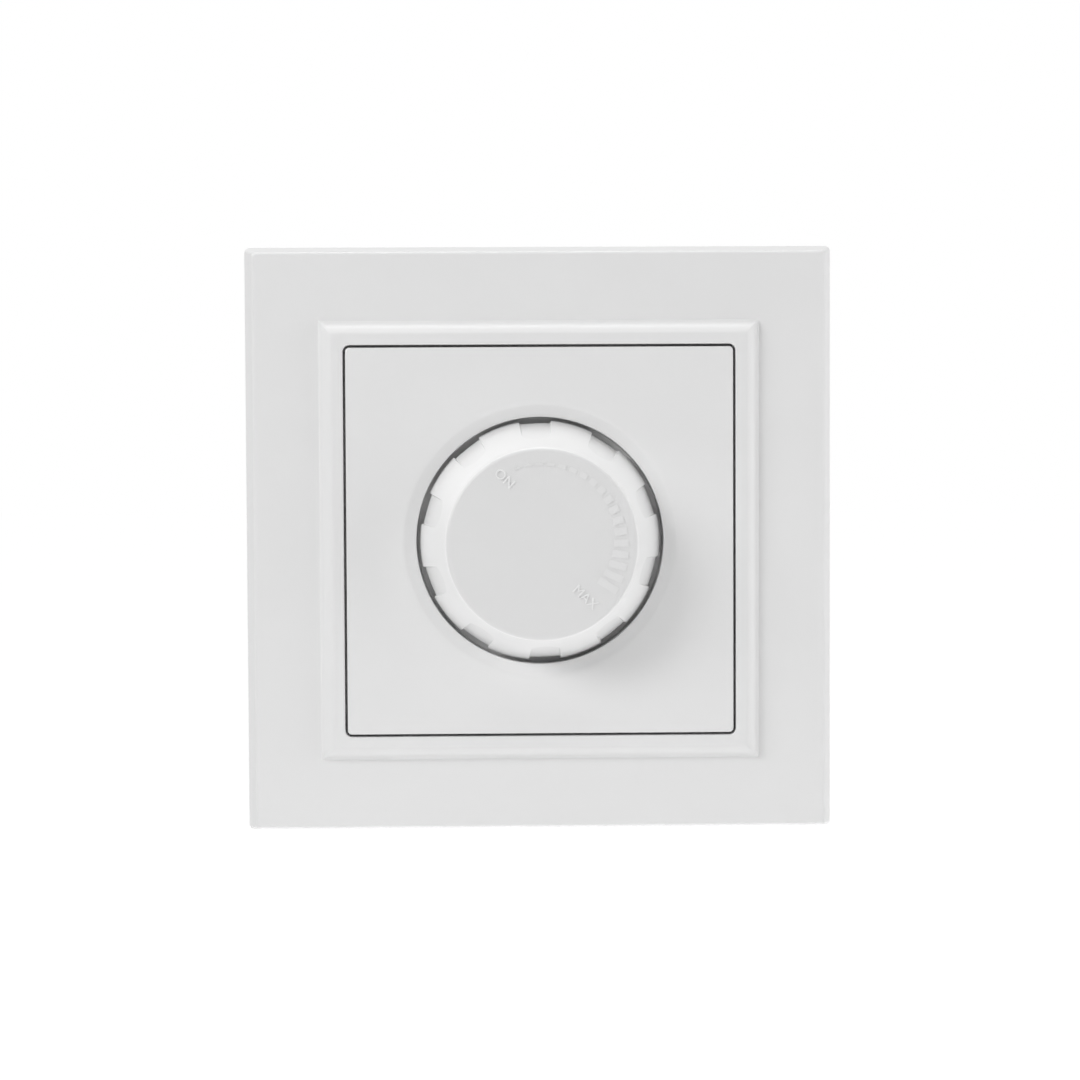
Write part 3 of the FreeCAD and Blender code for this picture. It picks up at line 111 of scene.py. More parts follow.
class PlateSizes(PropertyGroup):
    half: size("Half width", 26.9, "Half the centre plate's width")
    gap: size("Gap", 0.35, "Gap round the centre plate")
    corner: size("Corner", 0.6, "Corner radius of the centre plate")
    thick: size("Thickness", 2.0, "Thickness of the plate")
    skirt_wall: size("Skirt wall", 1.4, "Skirt round the plate's back")
    arris: size("Arris", 0.2, "Rounding of the plate's front edge")
    dish_radius: size("Dish radius", 19.05, "Outer radius of the dished ring")
    dish_depth: size("Dish depth", 0.7, "Depth of the dished ring")
    dish_round: size("Dish rounding", 0.35, "Rounding where the dish meets the plate")
    well_radius: size("Well radius", 17.2, "Radius of the knob's well")
    well_wall: size("Well wall", 1.5, "Wall of the well")
    floor_front: size("Floor front", 2.8, "Floor of the well above the wall")
    floor_back: size("Floor back", 1.2, "Back of that floor above the wall")
    neck_radius: size("Neck hole", 5.05, "Hole for the threaded neck")


class KnobSizes(PropertyGroup):
    rim: size("Rim level", 5.0, "Knob's rim above the wall")
    height: size("Height", 11.0, "Knob from rim to face")
    rim_radius: size("Rim radius", 16.74, "Radius of the rim")
    face_radius: size("Face radius", 13.1, "Radius of the face")
    face_round: size("Face rounding", 0.5, "Rounding of the face's edge")
    rim_round: size("Rim rounding", 0.15, "Rounding of the rim's edge")
    wall: size("Wall", 1.8, "Side wall of the knob")
    roof: size("Roof", 2.0, "Thickness of the knob's face")
    hub_radius: size("Hub radius", 5.6, "Hub inside the knob")
    hub_level: size("Hub level", 7.9, "End of the hub above the wall")
    bore_radius: size("Bore radius", 3.03, "Bore of the hub")
    bore_flat: size("Bore flat", 1.9, "Flat of the bore from the axis")
    ribs: IntProperty(name="Ribs", description="Ribs between hub and wall", default=5)
    rib_thick: size("Rib thickness", 1.2, "Thickness of a rib")
    rib_depth: size("Rib depth", 3.0, "Height of a rib")
    grips: IntProperty(name="Grips", description="Finger grips round the knob", default=10)
    grip_depth: size("Grip depth", 0.4, "Depth of a grip at the rim")
    grip_width: size("Grip width", 4.4, "Width of a grip at the rim")
    grip_reach: size("Grip reach", 7.4, "Height at which a grip's middle runs out")
    grip_bow: size("Grip bow", 0.07, "Middle of a grip below its ends")
    grip_end: size("Grip end", 0.16, "Width of the step at a grip's end")
    phase: angle("Phase", -2.2, "Turn of the grips from the top")


class MarkSizes(PropertyGroup):
    relief: size("Relief", 0.16, "Height of the raised words")
    letter_height: size("Letter height", 1.34, "Height of the capitals")
    on_radius: size("ON radius", 10.35, "Place of ON from the axis")
    on_angle: angle("ON angle", -29.0, "Place of ON, clockwise from the top")
    on_width: size("ON width", 2.86, "Width of ON")
    full_radius: size("MAX radius", 9.4, "Place of MAX from the axis")
    full_angle: angle("MAX angle", 140.6, "Place of MAX, clockwise from the top")
    full_width: size("MAX width", 3.8, "Width of MAX")
    turned: angle("Turned", 43.0, "How far the knob is turned from its off place")
    bars: IntProperty(name="Bars", description="Bars of the growing wedge", default=18)
    bar_start: angle("First bar", -18.0, "First bar, clockwise from the top")
    bar_pitch: angle("Bar pitch", 8.25, "Angle from bar to bar")
    bar_relief: size("Bar relief", 0.13, "Height of the bars")
    bar_width: size("Bar width", 1.02, "Width of a bar along the ring")
    bar_radius: size("Bar radius", 10.85, "Place of the wedge from the axis")
    bar_inward: size("Inward growth", 1.6, "How far the last bar reaches inwards")
    bar_outward: size("Outward growth", 1.15, "How far the last bar reaches outwards")
    bar_thin: size("Thinnest bar", 0.2, "Radial width of the first bar")


class Finishes(PropertyGroup):
    frame_white: colour("Frame", (0.80, 0.80, 0.80), "Plastic of the cover frame")
    plate_white: colour("Plate", (0.80, 0.80, 0.80), "Plastic of the centre plate")
    # The knob's sides and face are one plastic: the sides carry a lighter white as painted light, the
    # face a darker white as painted shade
    knob_side_painted_light: colour("Knob sides", (0.9, 0.9, 0.9), "Polished sides of the knob")
    knob_face_painted_shade: colour("Knob face", (0.76, 0.76, 0.76), "Fine textured face of the knob")
    # The marks' lighter white is a painted highlight on the knob's plastic
    mark_painted_highlight: colour("Marks", (0.88, 0.88, 0.88), "Polished tops of the raised marks")
    # The bars' slightly lighter white is a painted highlight on the knob's plastic
    bar_painted_highlight: colour("Bars", (0.785, 0.785, 0.785), "Raised bars of the wedge")
    gloss: amount("Roughness", 0.34, "Roughness of the white plastic")
    housing_grey: colour("Housing", (0.62, 0.62, 0.60), "Moulding of the base")


class StageSettings(PropertyGroup):
    elevation: angle("Elevation", 3.0, "Camera above the knob's axis")
    azimuth: angle("Azimuth", -1.4, "Camera to the side of the knob's axis")
    roll: angle("Roll", 0.26, "Turn of the picture")
    distance: size("Distance", 440.0, "Camera from the wall plane")
    scale: FloatProperty(name="Scale", description="Pixels per millimetre at the wall plane, for a "
                         "picture of 1080 pixels", default=7.085)
    target_x: size("Target across", 0.14, "Point in the picture's middle, across")
    target_z: size("Target up", -0.24, "Point in the picture's middle, up")
    lamps: FloatProperty(name="Lamps", description="Factor on the power of all lamps", default=1.0)
    world: FloatProperty(name="World", description="Strength of the room's light", default=0.2)
    floor_level: size("Floor", -260.0, "Height of the floor")


# Shapes

def softened(corners, rounds, steps=5):
    """A closed path of corners whose rounds are eased. Each round is a quadratic curve: it
    leaves the path at that distance before the corner, has the corner as its control point,
    and rejoins the path at that distance after it. Columns beyond the place are carried along."""
    corners = np.asarray(corners, float)
    before = np.roll(corners, 1, axis=0)
    after = np.roll(corners, -1, axis=0)

    def step_towards(other):
        way = other - corners
        reach = np.hypot(way[:, 0], way[:, 1])
        return corners + way * np.minimum(rounds / reach, 0.5)[:, None]

    rounds = np.asarray(rounds, float)
    start, end = step_towards(before), step_towards(after)
    t = np.linspace(0.0, 1.0, steps + 1)[None, :, None]
    eased = (1 - t) ** 2 * start[:, None] + 2 * t * (1 - t) * corners[:, None] + t ** 2 * end[:, None]
    sharp = rounds <= 0
    return np.concatenate([row[:1] if flat else row for row, flat in zip(eased, sharp)])


def arc_points(start, end, swell, steps):
    """Points inside an arc from start to end that bulges by swell to the right of the way.
    The arc is the circle of radius (chord^2 / 4 + swell^2) / (2 swell)."""
    start, end = np.asarray(start, float), np.asarray(end, float)
    chord = end - start
    length = np.hypot(*chord)
    right = np.array([chord[1], -chord[0]]) / length
    radius = (length ** 2 / 4 + swell ** 2) / (2 * swell)
    centre = (start + end) / 2 + right * (swell - radius)
    half = math.asin(length / 2 / radius)
    t = np.linspace(-half, half, steps + 2)[1:-1, None]
    return centre + radius * (np.cos(t) * right + np.sin(t) * chord / length)


def square_loops(half, corner, extra, segments):
    """Square rings with round corners, one row of points for each half width. A point of a
    corner is its centre plus the corner's radius times (cos, sin) of its angle; extra is what
    the height's half has over the width's. A corner as large as the half width gives a circle."""
    turn = np.arange(4)[:, None] * math.pi / 2 + np.linspace(0, math.pi / 2, segments + 1)[None, :]
    across, up = np.cos(turn).ravel(), np.sin(turn).ravel()
    side = np.repeat(np.sign(np.cos(np.arange(4) * math.pi / 2 + math.pi / 4)), segments + 1)
    level = np.repeat(np.sign(np.sin(np.arange(4) * math.pi / 2 + math.pi / 4)), segments + 1)
    half, corner, extra = half[:, None], corner[:, None], extra[:, None]
    x = side * (half - corner) + corner * across
    z = level * (half + extra - corner) + corner * up
    return x, z


def grid_faces(rows, columns, closed):
    """Quads between neighbouring rows of a grid whose columns close on themselves."""
    i = np.arange(rows if closed else rows - 1)[:, None]
    j = np.arange(columns)[None, :]
    low, high = i * columns, (i + 1) % rows * columns
    right = (j + 1) % columns
    return np.stack([low + j, low + right, high + right, high + j], axis=-1).reshape(-1, 4)


def square_shell(path, segments):
    """A closed path of (half width, level, corner radius, extra height) carried round a square."""
    half, level, corner, extra = path.T
    x, z = square_loops(half, np.minimum(corner, half), extra, segments)
    y = np.broadcast_to(-level[:, None], x.shape)
    return np.stack([x, y, z], axis=-1).reshape(-1, 3), grid_faces(*x.shape, closed=True)


def blocks(outlines, depth, places):
    """Four-cornered blocks. Each outline lies in its own plane, has depth along its third axis,
    half on either side, and is moved by its own 4 x 4 place."""
    outlines, places = np.asarray(outlines, float), np.asarray(places, float)
    count = len(outlines)
    near = np.concatenate([outlines, np.full((count, 4, 1), -depth / 2)], axis=2)
    far = np.concatenate([outlines, np.full((count, 4, 1), depth / 2)], axis=2)
    corners = np.concatenate([near, far], axis=1)
    moved = corners @ places[:, :3, :3].transpose(0, 2, 1) + places[:, None, :3, 3]
    block = np.array([(0, 1, 5, 4), (1, 2, 6, 5), (2, 3, 7, 6), (3, 0, 4, 7), (3, 2, 1, 0), (4, 5, 6, 7)])
    faces = block + 8 * np.arange(count)[:, None, None]
    return moved.reshape(-1, 3), faces.reshape(-1, 4)


def quad_mesh(name, points, faces):
    """A mesh of quads. Doubles are merged, which also closes its poles and seams, and every
    face is turned outward."""
    mesh = bpy.data.meshes.new(name)
    mesh.from_pydata(points.tolist(), [], faces.tolist())
    work = bmesh.new()
    work.from_mesh(mesh)
    bmesh.ops.remove_doubles(work, verts=work.verts, dist=1e-7)
    bmesh.ops.recalc_face_normals(work, faces=work.faces)
    work.to_mesh(mesh)
    work.free()
    return mesh


def add_piece(mesh, finish, body, node, crease=35.0):
    """Puts a mesh with the given finish on a CAD body, and hides the CAD node whose place it takes, when
    one is given.
    """
    mesh.shade_smooth()
    mesh.set_sharp_from_angle(angle=math.radians(crease))
    mesh.materials.clear()
    mesh.materials.append(finish)
    thing = bpy.data.objects.new(mesh.name, mesh)
    bpy.context.scene.collection.objects.link(thing)
    thing.modifiers.new("Level sides", "WEIGHTED_NORMAL").keep_sharp = True
    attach(thing, body)
    if node:
        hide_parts(node)
    return thing


# Finishes

def new_finish(name):
    finish = bpy.data.materials.new(name)
    finish.use_nodes = True
    finish.node_tree.nodes.clear()
    tree = Tree(finish.node_tree)
    shader = tree.add("ShaderNodeBsdfPrincipled")
    output = tree.add("ShaderNodeOutputMaterial")
    tree.link(shader, "BSDF", output, "Surface")
    return finish, tree, shader


class Tree:
    """Short words for building a node tree."""

    def __init__(self, nodes):
        self.nodes = nodes

    def add(self, kind, **settings):
        node = self.nodes.nodes.new(kind)
        for key, setting in settings.items():
            if key.startswith("in_"):
                node.inputs[key[3:].replace("_", " ")].default_value = setting
            else:
                setattr(node, key, setting)
        return node

    def link(self, source, output, target, entry):
        self.nodes.links.new(source.outputs[output], target.inputs[entry])

    def noise(self, scale, detail=3.0, stretch=(1, 1, 1)):
        """Noise on Object coordinates, stretched along the axes."""
        place = self.add("ShaderNodeTexCoord")
        turned = self.add("ShaderNodeMapping", in_Scale=stretch)
        grain = self.add("ShaderNodeTexNoise", in_Scale=scale, in_Detail=detail)
        self.link(place, "Object", turned, "Vector")
        self.link(turned, "Vector", grain, "Vector")
        return grain

    def spread(self, source, output, low, high):
        """Maps a 0 to 1 pattern to a range."""
        span = self.add("ShaderNodeMapRange", in_To_Min=low, in_To_Max=high)
        self.link(source, output, span, "Value")
        return span

    def tint(self, source, output, dark, light):
        """Two colours mixed by a pattern."""
        ramp = self.add("ShaderNodeValToRGB")
        ramp.color_ramp.elements[0].color = (*dark, 1)
        ramp.color_ramp.elements[1].color = (*light, 1)
        ramp.color_ramp.elements[0].position = 0.3
        ramp.color_ramp.elements[1].position = 0.7
        self.link(source, output, ramp, "Fac")
        return ramp

    def bumps(self, shader, *layers):
        """Bump layers of (source, output, height in metres), one over the other."""
        below = None
        for source, output, height in layers:
            bump = self.add("ShaderNodeBump", in_Strength=1.0, in_Distance=height)
            self.link(source, output, bump, "Height")
            if below:
                self.link(below, "Normal", bump, "Normal")
            below = bump
        self.link(below, "Normal", shader, "Normal")


def shaded(shade, factor):
    return tuple(min(1.0, part * factor) for part in shade)


def moulded_plastic(name, shade, roughness, texture=4e-6, mottle=0.985):
    """Moulded plastic: a nearly even colour, faint flow marks and a fine tool texture."""
    finish, tree, shader = new_finish(name)
    flow = tree.noise(60.0, 2.0, (1, 1, 1.6))
    tone = tree.tint(flow, "Fac", shaded(shade, mottle), shade)
    tree.link(tone, "Color", shader, "Base Color")
    fine = tree.noise(5200.0, 2.0)
    polish = tree.spread(flow, "Fac", roughness * 0.9, roughness * 1.1)
    tree.link(polish, "Result", shader, "Roughness")
    waves = tree.noise(420.0, 2.0)
    tree.bumps(shader, (waves, "Fac", texture * 1.5), (fine, "Fac", texture))
    shader.inputs["IOR"].default_value = 1.5
    return finish


def knob_plastic_painted_light(name, side, face, roughness, level):
    """Polished on the sides and finely textured on the flat face, whose zone is the part of
    the knob within a third of a millimetre below its level. On this one plastic the sides get
    a lighter white as painted light and the face a darker white as painted shade."""
    finish, tree, shader = new_finish(name)
    place = tree.add("ShaderNodeTexCoord")
    parts = tree.add("ShaderNodeSeparateXYZ")
    tree.link(place, "Object", parts, "Vector")
    zone = tree.add("ShaderNodeMapRange", interpolation_type="SMOOTHSTEP")
    zone.inputs["From Min"].default_value = -(level - 0.3 * MM)
    zone.inputs["From Max"].default_value = -(level - 0.05 * MM)
    tree.link(parts, "Y", zone, "Value")
    flow = tree.noise(60.0, 2.0, (1, 1, 1.6))
    # Painted light and shade: a lighter white for the sides, a darker one for the face
    lit_and_shaded_tones = [tree.tint(flow, "Fac", shaded(shade, 0.985), shade) for shade in (side, face)]
    mixed = tree.add("ShaderNodeMix", data_type="RGBA")
    tree.link(zone, "Result", mixed, "Factor")
    tree.link(lit_and_shaded_tones[0], "Color", mixed, 6)
    tree.link(lit_and_shaded_tones[1], "Color", mixed, 7)
    tree.link(mixed, 2, shader, "Base Color")
    polish = tree.spread(zone, "Result", roughness * 0.8, roughness * 1.35)
    tree.link(polish, "Result", shader, "Roughness")
    fine = tree.noise(6500.0, 3.0)
    grain = tree.add("ShaderNodeMath", operation="MULTIPLY")
    tree.link(fine, "Fac", grain, 0)
    tree.link(zone, "Result", grain, 1)
    waves = tree.noise(420.0, 2.0)
    tree.bumps(shader, (waves, "Fac", 6e-6), (grain, "Value", 1e-5))
    shader.inputs["IOR"].default_value = 1.5
    return finish


def sheet_metal(name, shade, roughness, along=(1, 1, 1), spangle=0.0, grain=2e-6):
    """Rolled or plated metal: drawn out grain, with zinc flowers where spangle isn't 0."""
    finish, tree, shader = new_finish(name)
    shader.inputs["Metallic"].default_value = 1.0
    lines = tree.noise(900.0, 4.0, along)
    if spangle:
        place = tree.add("ShaderNodeTexCoord")
        flowers = tree.add("ShaderNodeTexVoronoi", in_Scale=260.0)
        tree.link(place, "Object", flowers, "Vector")
        tone = tree.tint(flowers, "Color", shaded(shade, 1 - spangle), shade)
    else:
        tone = tree.tint(lines, "Fac", shaded(shade, 0.86), shade)
    tree.link(tone, "Color", shader, "Base Color")
    polish = tree.spread(lines, "Fac", roughness * 0.75, roughness * 1.3)
    tree.link(polish, "Result", shader, "Roughness")
    tree.bumps(shader, (lines, "Fac", grain))
    return finish


def paper_laminate(name, shade):
    """Pressed paper laminate: fibres, specks and a dull resin skin."""
    finish, tree, shader = new_finish(name)
    fibres = tree.noise(700.0, 6.0, (1, 1, 5))
    tone = tree.tint(fibres, "Fac", shaded(shade, 0.72), shade)
    tree.link(tone, "Color", shader, "Base Color")
    polish = tree.spread(fibres, "Fac", 0.45, 0.65)
    tree.link(polish, "Result", shader, "Roughness")
    tree.bumps(shader, (fibres, "Fac", 8e-6))
    return finish


def ferrite(name):
    """Sintered ferrite: matt dark grey with small pores."""
    finish, tree, shader = new_finish(name)
    pores = tree.noise(2600.0, 5.0)
    tone = tree.tint(pores, "Fac", (0.02, 0.02, 0.022), (0.07, 0.07, 0.075))
    tree.link(tone, "Color", shader, "Base Color")
    polish = tree.spread(pores, "Fac", 0.55, 0.85)
    tree.link(polish, "Result", shader, "Roughness")
    tree.bumps(shader, (pores, "Fac", 3e-5))
    return finish


def wound_wire(name, centre, turns):
    """Enamelled copper wound round a ring: ridges at even angles about the ring's middle.
    The ridge height is the sine of the angle about the centre times the number of turns."""
    finish, tree, shader = new_finish(name)
    shader.inputs["Metallic"].default_value = 1.0
    shader.inputs["Coat Weight"].default_value = 0.6
    place = tree.add("ShaderNodeTexCoord")
    moved = tree.add("ShaderNodeMapping", in_Location=(-centre[0], 0, -centre[2]))
    parts = tree.add("ShaderNodeSeparateXYZ")
    tree.link(place, "Object", moved, "Vector")
    tree.link(moved, "Vector", parts, "Vector")
    bearing = tree.add("ShaderNodeMath", operation="ARCTAN2")
    tree.link(parts, "X", bearing, 0)
    tree.link(parts, "Z", bearing, 1)
    counted = tree.add("ShaderNodeMath", operation="MULTIPLY")
    counted.inputs[1].default_value = float(turns)
    tree.link(bearing, "Value", counted, 0)
    ridge = tree.add("ShaderNodeMath", operation="SINE")
    tree.link(counted, "Value", ridge, 0)
    height = tree.add("ShaderNodeMapRange")
    height.inputs["From Min"].default_value = -1.0
    tree.link(ridge, "Value", height, "Value")
    # Painted shade and highlight: the copper is darker in the grooves between the turns and lighter on
    # the ridge tops
    tone = tree.tint(height, "Result", (0.28, 0.09, 0.03), (0.75, 0.34, 0.14))
    tree.link(tone, "Color", shader, "Base Color")
    shader.inputs["Roughness"].default_value = 0.28
    tree.bumps(shader, (height, "Result", 2.2e-4))
    return finish


def banded_body(name, shade, bands, start, end):
    """A lacquered or moulded body that lies from start to end along X, with colour bands at
    shares of its length. Its tinned leads or tab lie past its ends, and the ramp's alpha is 1
    where that metal is."""
    finish, tree, shader = new_finish(name)
    place = tree.add("ShaderNodeTexCoord")
    parts = tree.add("ShaderNodeSeparateXYZ")
    tree.link(place, "Object", parts, "Vector")
    first, last = 0.1, 0.9
    along = tree.add("ShaderNodeMapRange", clamp=False, in_From_Min=start, in_From_Max=end,
                     in_To_Min=first, in_To_Max=last)
    tree.link(parts, "X", along, "Value")
    ramp = tree.add("ShaderNodeValToRGB")
    ramp.color_ramp.interpolation = "CONSTANT"
    stops = ramp.color_ramp.elements
    metal = (0.7, 0.69, 0.66, 1)
    stops[0].color = metal
    stops[1].position, stops[1].color = last, metal
    stops.new(first).color = (*shade, 0)
    for share, width, band in bands:
        stops.new(first + (last - first) * share).color = (*band, 0)
        stops.new(first + (last - first) * (share + width)).color = (*shade, 0)
    tree.link(along, "Result", ramp, "Fac")
    tree.link(ramp, "Color", shader, "Base Color")
    tree.link(ramp, "Alpha", shader, "Metallic")
    skin = tree.noise(1500.0, 3.0)
    polish = tree.spread(skin, "Fac", 0.25, 0.45)
    tree.link(polish, "Result", shader, "Roughness")
    tree.bumps(shader, (skin, "Fac", 1.5e-5))
    return finish


def tube_glass(name):
    """Clear tube glass with faint draw lines."""
    finish, tree, shader = new_finish(name)
    shader.inputs["Transmission Weight"].default_value = 1.0
    shader.inputs["IOR"].default_value = 1.5
    shader.inputs["Roughness"].default_value = 0.02
    lines = tree.noise(500.0, 2.0, (4, 4, 0.4))
    tone = tree.tint(lines, "Fac", (0.93, 0.97, 0.96), (1.0, 1.0, 1.0))
    tree.link(tone, "Color", shader, "Base Color")
    tree.bumps(shader, (lines, "Fac", 4e-6))
    return finish


def dress(node, finish):
    """Gives a CAD node its finish."""
    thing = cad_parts[node]
    if not thing.material_slots:
        thing.data.materials.append(finish)
    for entry in thing.material_slots:
        entry.material = finish


# Pieces

class DIMMER_OT_cover_frame(Operator):
    """The cover frame: one section carried round the square"""
    bl_idname = "dimmer.cover_frame"
    bl_label = "Cover frame"

    def execute(self, context):
        scene = context.scene
        s, plate, finishes = scene.dimmer_frame, scene.dimmer_plate, scene.dimmer_finish
        mouth = plate.half + plate.gap
        mouth_corner = plate.corner + plate.gap
        land, foot = mouth + s.bezel_land, mouth + s.bezel_land + s.bezel_foot
        front, top = s.rise, s.rise + s.bezel_rise
        island, roof = mouth + s.wall, s.rise - s.wall
        way = mouth - s.ledge_reach
        ledge_back = s.ledge_front - s.ledge_thick
        shorter = s.half_height - s.half
        taller = shorter + s.side_taper - s.top_taper
        hollow = s.half - s.side_taper - s.wall
        slope = arc_points((foot, front), (land, top), s.bezel_swell, SWELL)
        path = np.array([
            (s.half, 0, s.rear_corner, shorter, s.mitre),
            (s.half - s.side_taper, front, s.front_corner, taller, s.edge_round),
            (foot, front, s.mitre, 0, s.mitre), *[(x, y, s.mitre, 0, 0) for x, y in slope],
            (land, top, s.mitre, 0, s.arris), (mouth, top, mouth_corner, 0, s.arris),
            (mouth, s.ledge_front, mouth_corner, 0, 0), (way, s.ledge_front, s.mitre, 0, 0),
            (way, ledge_back, s.mitre, 0, 0), (island, ledge_back, s.mitre, 0, 0),
            (island, roof, s.mitre, 0, 0), (hollow, roof, s.front_corner, taller, 0),
            (hollow, 0, s.front_corner, taller, 0),
        ])
        points, faces = square_shell(softened(path[:, :4], path[:, 4]), FRAME_CORNER)
        finish = moulded_plastic("frame_plastic_finish", tuple(finishes.frame_white), finishes.gloss)
        add_piece(quad_mesh("frame_shell", points, faces), finish, "mechanism", "cover_frame")
        return {"FINISHED"}


class DIMMER_OT_centre_plate(Operator):
    """The centre plate: from its square edge over the dished ring into the round well"""
    bl_idname = "dimmer.centre_plate"
    bl_label = "Centre plate"

    def execute(self, context):
        scene = context.scene
        s, cover, finishes = scene.dimmer_plate, scene.dimmer_frame, scene.dimmer_finish
        front = cover.rise + cover.bezel_rise
        back = front - s.thick
        outer, inside = s.half, s.half - s.skirt_wall
        well, shell_radius = s.well_radius, s.well_radius + s.well_wall
        corners = np.array([
            (outer, cover.ledge_front, s.corner, 0), (outer, front, s.corner, s.arris),
            (s.dish_radius, front, s.dish_radius, s.dish_round),
            (well, front - s.dish_depth, well, s.arris),
            (well, s.floor_front, well, s.arris), (s.neck_radius, s.floor_front, s.neck_radius, 0),
            (s.neck_radius, s.floor_back, s.neck_radius, 0),
            (shell_radius, s.floor_back, shell_radius, 0), (shell_radius, back, shell_radius, 0),
            (inside, back, cover.mitre, 0), (inside, cover.ledge_front, cover.mitre, 0),
        ])
        # The plate is as high as it is wide, so the extra height is 0 everywhere
        path = np.insert(corners[:, :3], 3, 0.0, axis=1)
        points, faces = square_shell(softened(path, corners[:, 3]), PLATE_CORNER)
        finish = moulded_plastic("plate_plastic_finish", tuple(finishes.plate_white), finishes.gloss)
        add_piece(quad_mesh("plate_shell", points, faces), finish, "mechanism", "centre_plate")
        return {"FINISHED"}


def grip_bearings(s):
    """Bearings from a grip's middle over one pitch, closer together across the steps at its
    ends, and repeated for every grip."""
    half, end = s.grip_width / 2 / s.rim_radius, s.grip_end / s.rim_radius
    pitch = 2 * math.pi / s.grips
    across = np.concatenate([np.linspace(half - end / 2, half + end / 2, STEP),
                             np.linspace(half + end, pitch - half - end, BETWEEN),
                             np.linspace(pitch - half - end / 2, pitch - half + end / 2, STEP),
                             np.linspace(pitch - half + end, pitch + half - end, GRIP_FLOOR)])
    return (s.phase + pitch * np.arange(s.grips)[:, None] + across[None, :]).ravel()


def grip_depths(s, bearing, rise):
    """Depth of the grips below the cone. Between its ends a grip has a depth that falls evenly
    from the rim to nothing at its reach, less a bow times the square of the share of the way
    from its middle to its end, so that it runs out along an arc. Each end is a smooth step."""
    half, end = s.grip_width / 2 / s.rim_radius, s.grip_end / s.rim_radius
    pitch = 2 * math.pi / s.grips
    off = np.abs((bearing - s.phase + pitch / 2) % pitch - pitch / 2)[None, :]
    floor = s.grip_depth * (1 - rise / s.grip_reach)[:, None] - s.grip_bow * (off / half) ** 2
    step = np.clip((half + end / 2 - off) / end, 0, 1)
    return np.maximum(floor, 0) * step ** 2 * (3 - 2 * step)


def cone_lean(s):
    """What the knob's radius gains for each metre towards the rim."""
    return (s.rim_radius - s.face_radius) / s.height


def knob_surface(s):
    """The knob's skin on a grid of (bearing, place on the profile). On the cone's outside the
    radius is the cone's less the depth of the grips, and in the bore it ends at the flat."""
    top = s.rim + s.height
    lean = cone_lean(s)
    inner_roof = s.face_radius + lean * s.roof - s.wall
    cone_levels = np.linspace(top - 2 * s.face_round, s.rim + 2 * s.rim_round, CONE)
    cone = [(s.face_radius + lean * (top - level), level, 1.0, 0.0) for level in cone_levels]
    bore_floor = top - s.roof
    path = np.array([
        (s.face_radius, top, 1.0, s.face_round), *cone, (s.rim_radius, s.rim, 1.0, s.rim_round),
        (s.rim_radius - s.wall, s.rim, 0.0, s.rim_round), (inner_roof, bore_floor, 0.0, s.face_round),
        (s.hub_radius, bore_floor, 0.0, s.rim_round), (s.hub_radius, s.hub_level, 0.0, s.rim_round),
        (s.bore_radius, s.hub_level, 0.0, 0.0), (s.bore_radius, bore_floor, 0.0, 0.0),
        (0.0, bore_floor, 0.0, 0.0), (0.0, top, 0.0, 0.0),
    ])
    path = softened(path[:, :3], path[:, 3])
    radius, level, outside = path.T
    bearing = grip_bearings(s)
    depth = grip_depths(s, bearing, level - s.rim) * (outside > 0.5)[:, None]
    # The bore's flat: no point of the bore lies beyond it
    rounding = 1e-9
    bore = (radius > 0) & (radius <= s.bore_radius + rounding) & (outside < 0.5)
    up = np.cos(bearing - s.phase)
    tiny, no_limit = 1e-6, 1.0
    flat = np.where(up > tiny, s.bore_flat / np.maximum(up, tiny), no_limit)
    radius = radius[:, None] - depth
    radius = np.where(bore[:, None], np.minimum(radius, flat), radius)
    x, z = radius * np.sin(bearing), radius * np.cos(bearing)
    y = np.broadcast_to(-level[:, None], x.shape)
    return np.stack([x, y, z], axis=-1).reshape(-1, 3), grid_faces(*x.shape, closed=True)


class DIMMER_OT_knob(Operator):
    """The knob: a turned cone with finger grips, its hub, and the ribs inside"""
    bl_idname = "dimmer.knob"
    bl_label = "Knob"

    def execute(self, context):
        s, finishes = context.scene.dimmer_knob, context.scene.dimmer_finish
        points, faces = knob_surface(s)
        finish = knob_plastic_painted_light("knob_plastic_painted_light_finish", tuple(finishes.knob_side_painted_light),
                              tuple(finishes.knob_face_painted_shade), finishes.gloss, s.rim + s.height)
        add_piece(quad_mesh("knob_skin", points, faces), finish, "dial", "knob")
        roof = s.rim + s.height - s.roof
        lean = cone_lean(s)
        wall = s.face_radius + lean * s.roof - s.wall
        bite = s.wall / 4  # how far a rib reaches into the wall, the roof and the hub
        outline = [
            (s.hub_radius - bite, -roof - bite), (s.hub_radius - bite, -roof + s.rib_depth),
            (wall + lean * s.rib_depth + bite, -roof + s.rib_depth), (wall + bite, -roof - bite),
        ]
        places = [Matrix.Rotation(s.phase + number * 2 * math.pi / s.ribs, 4, "Y")
                  for number in range(s.ribs)]
        points, faces = blocks([outline] * s.ribs, s.rib_thick, places)
        add_piece(quad_mesh("knob_ribs", points, faces), finish, "dial", "knob")
        return {"FINISHED"}


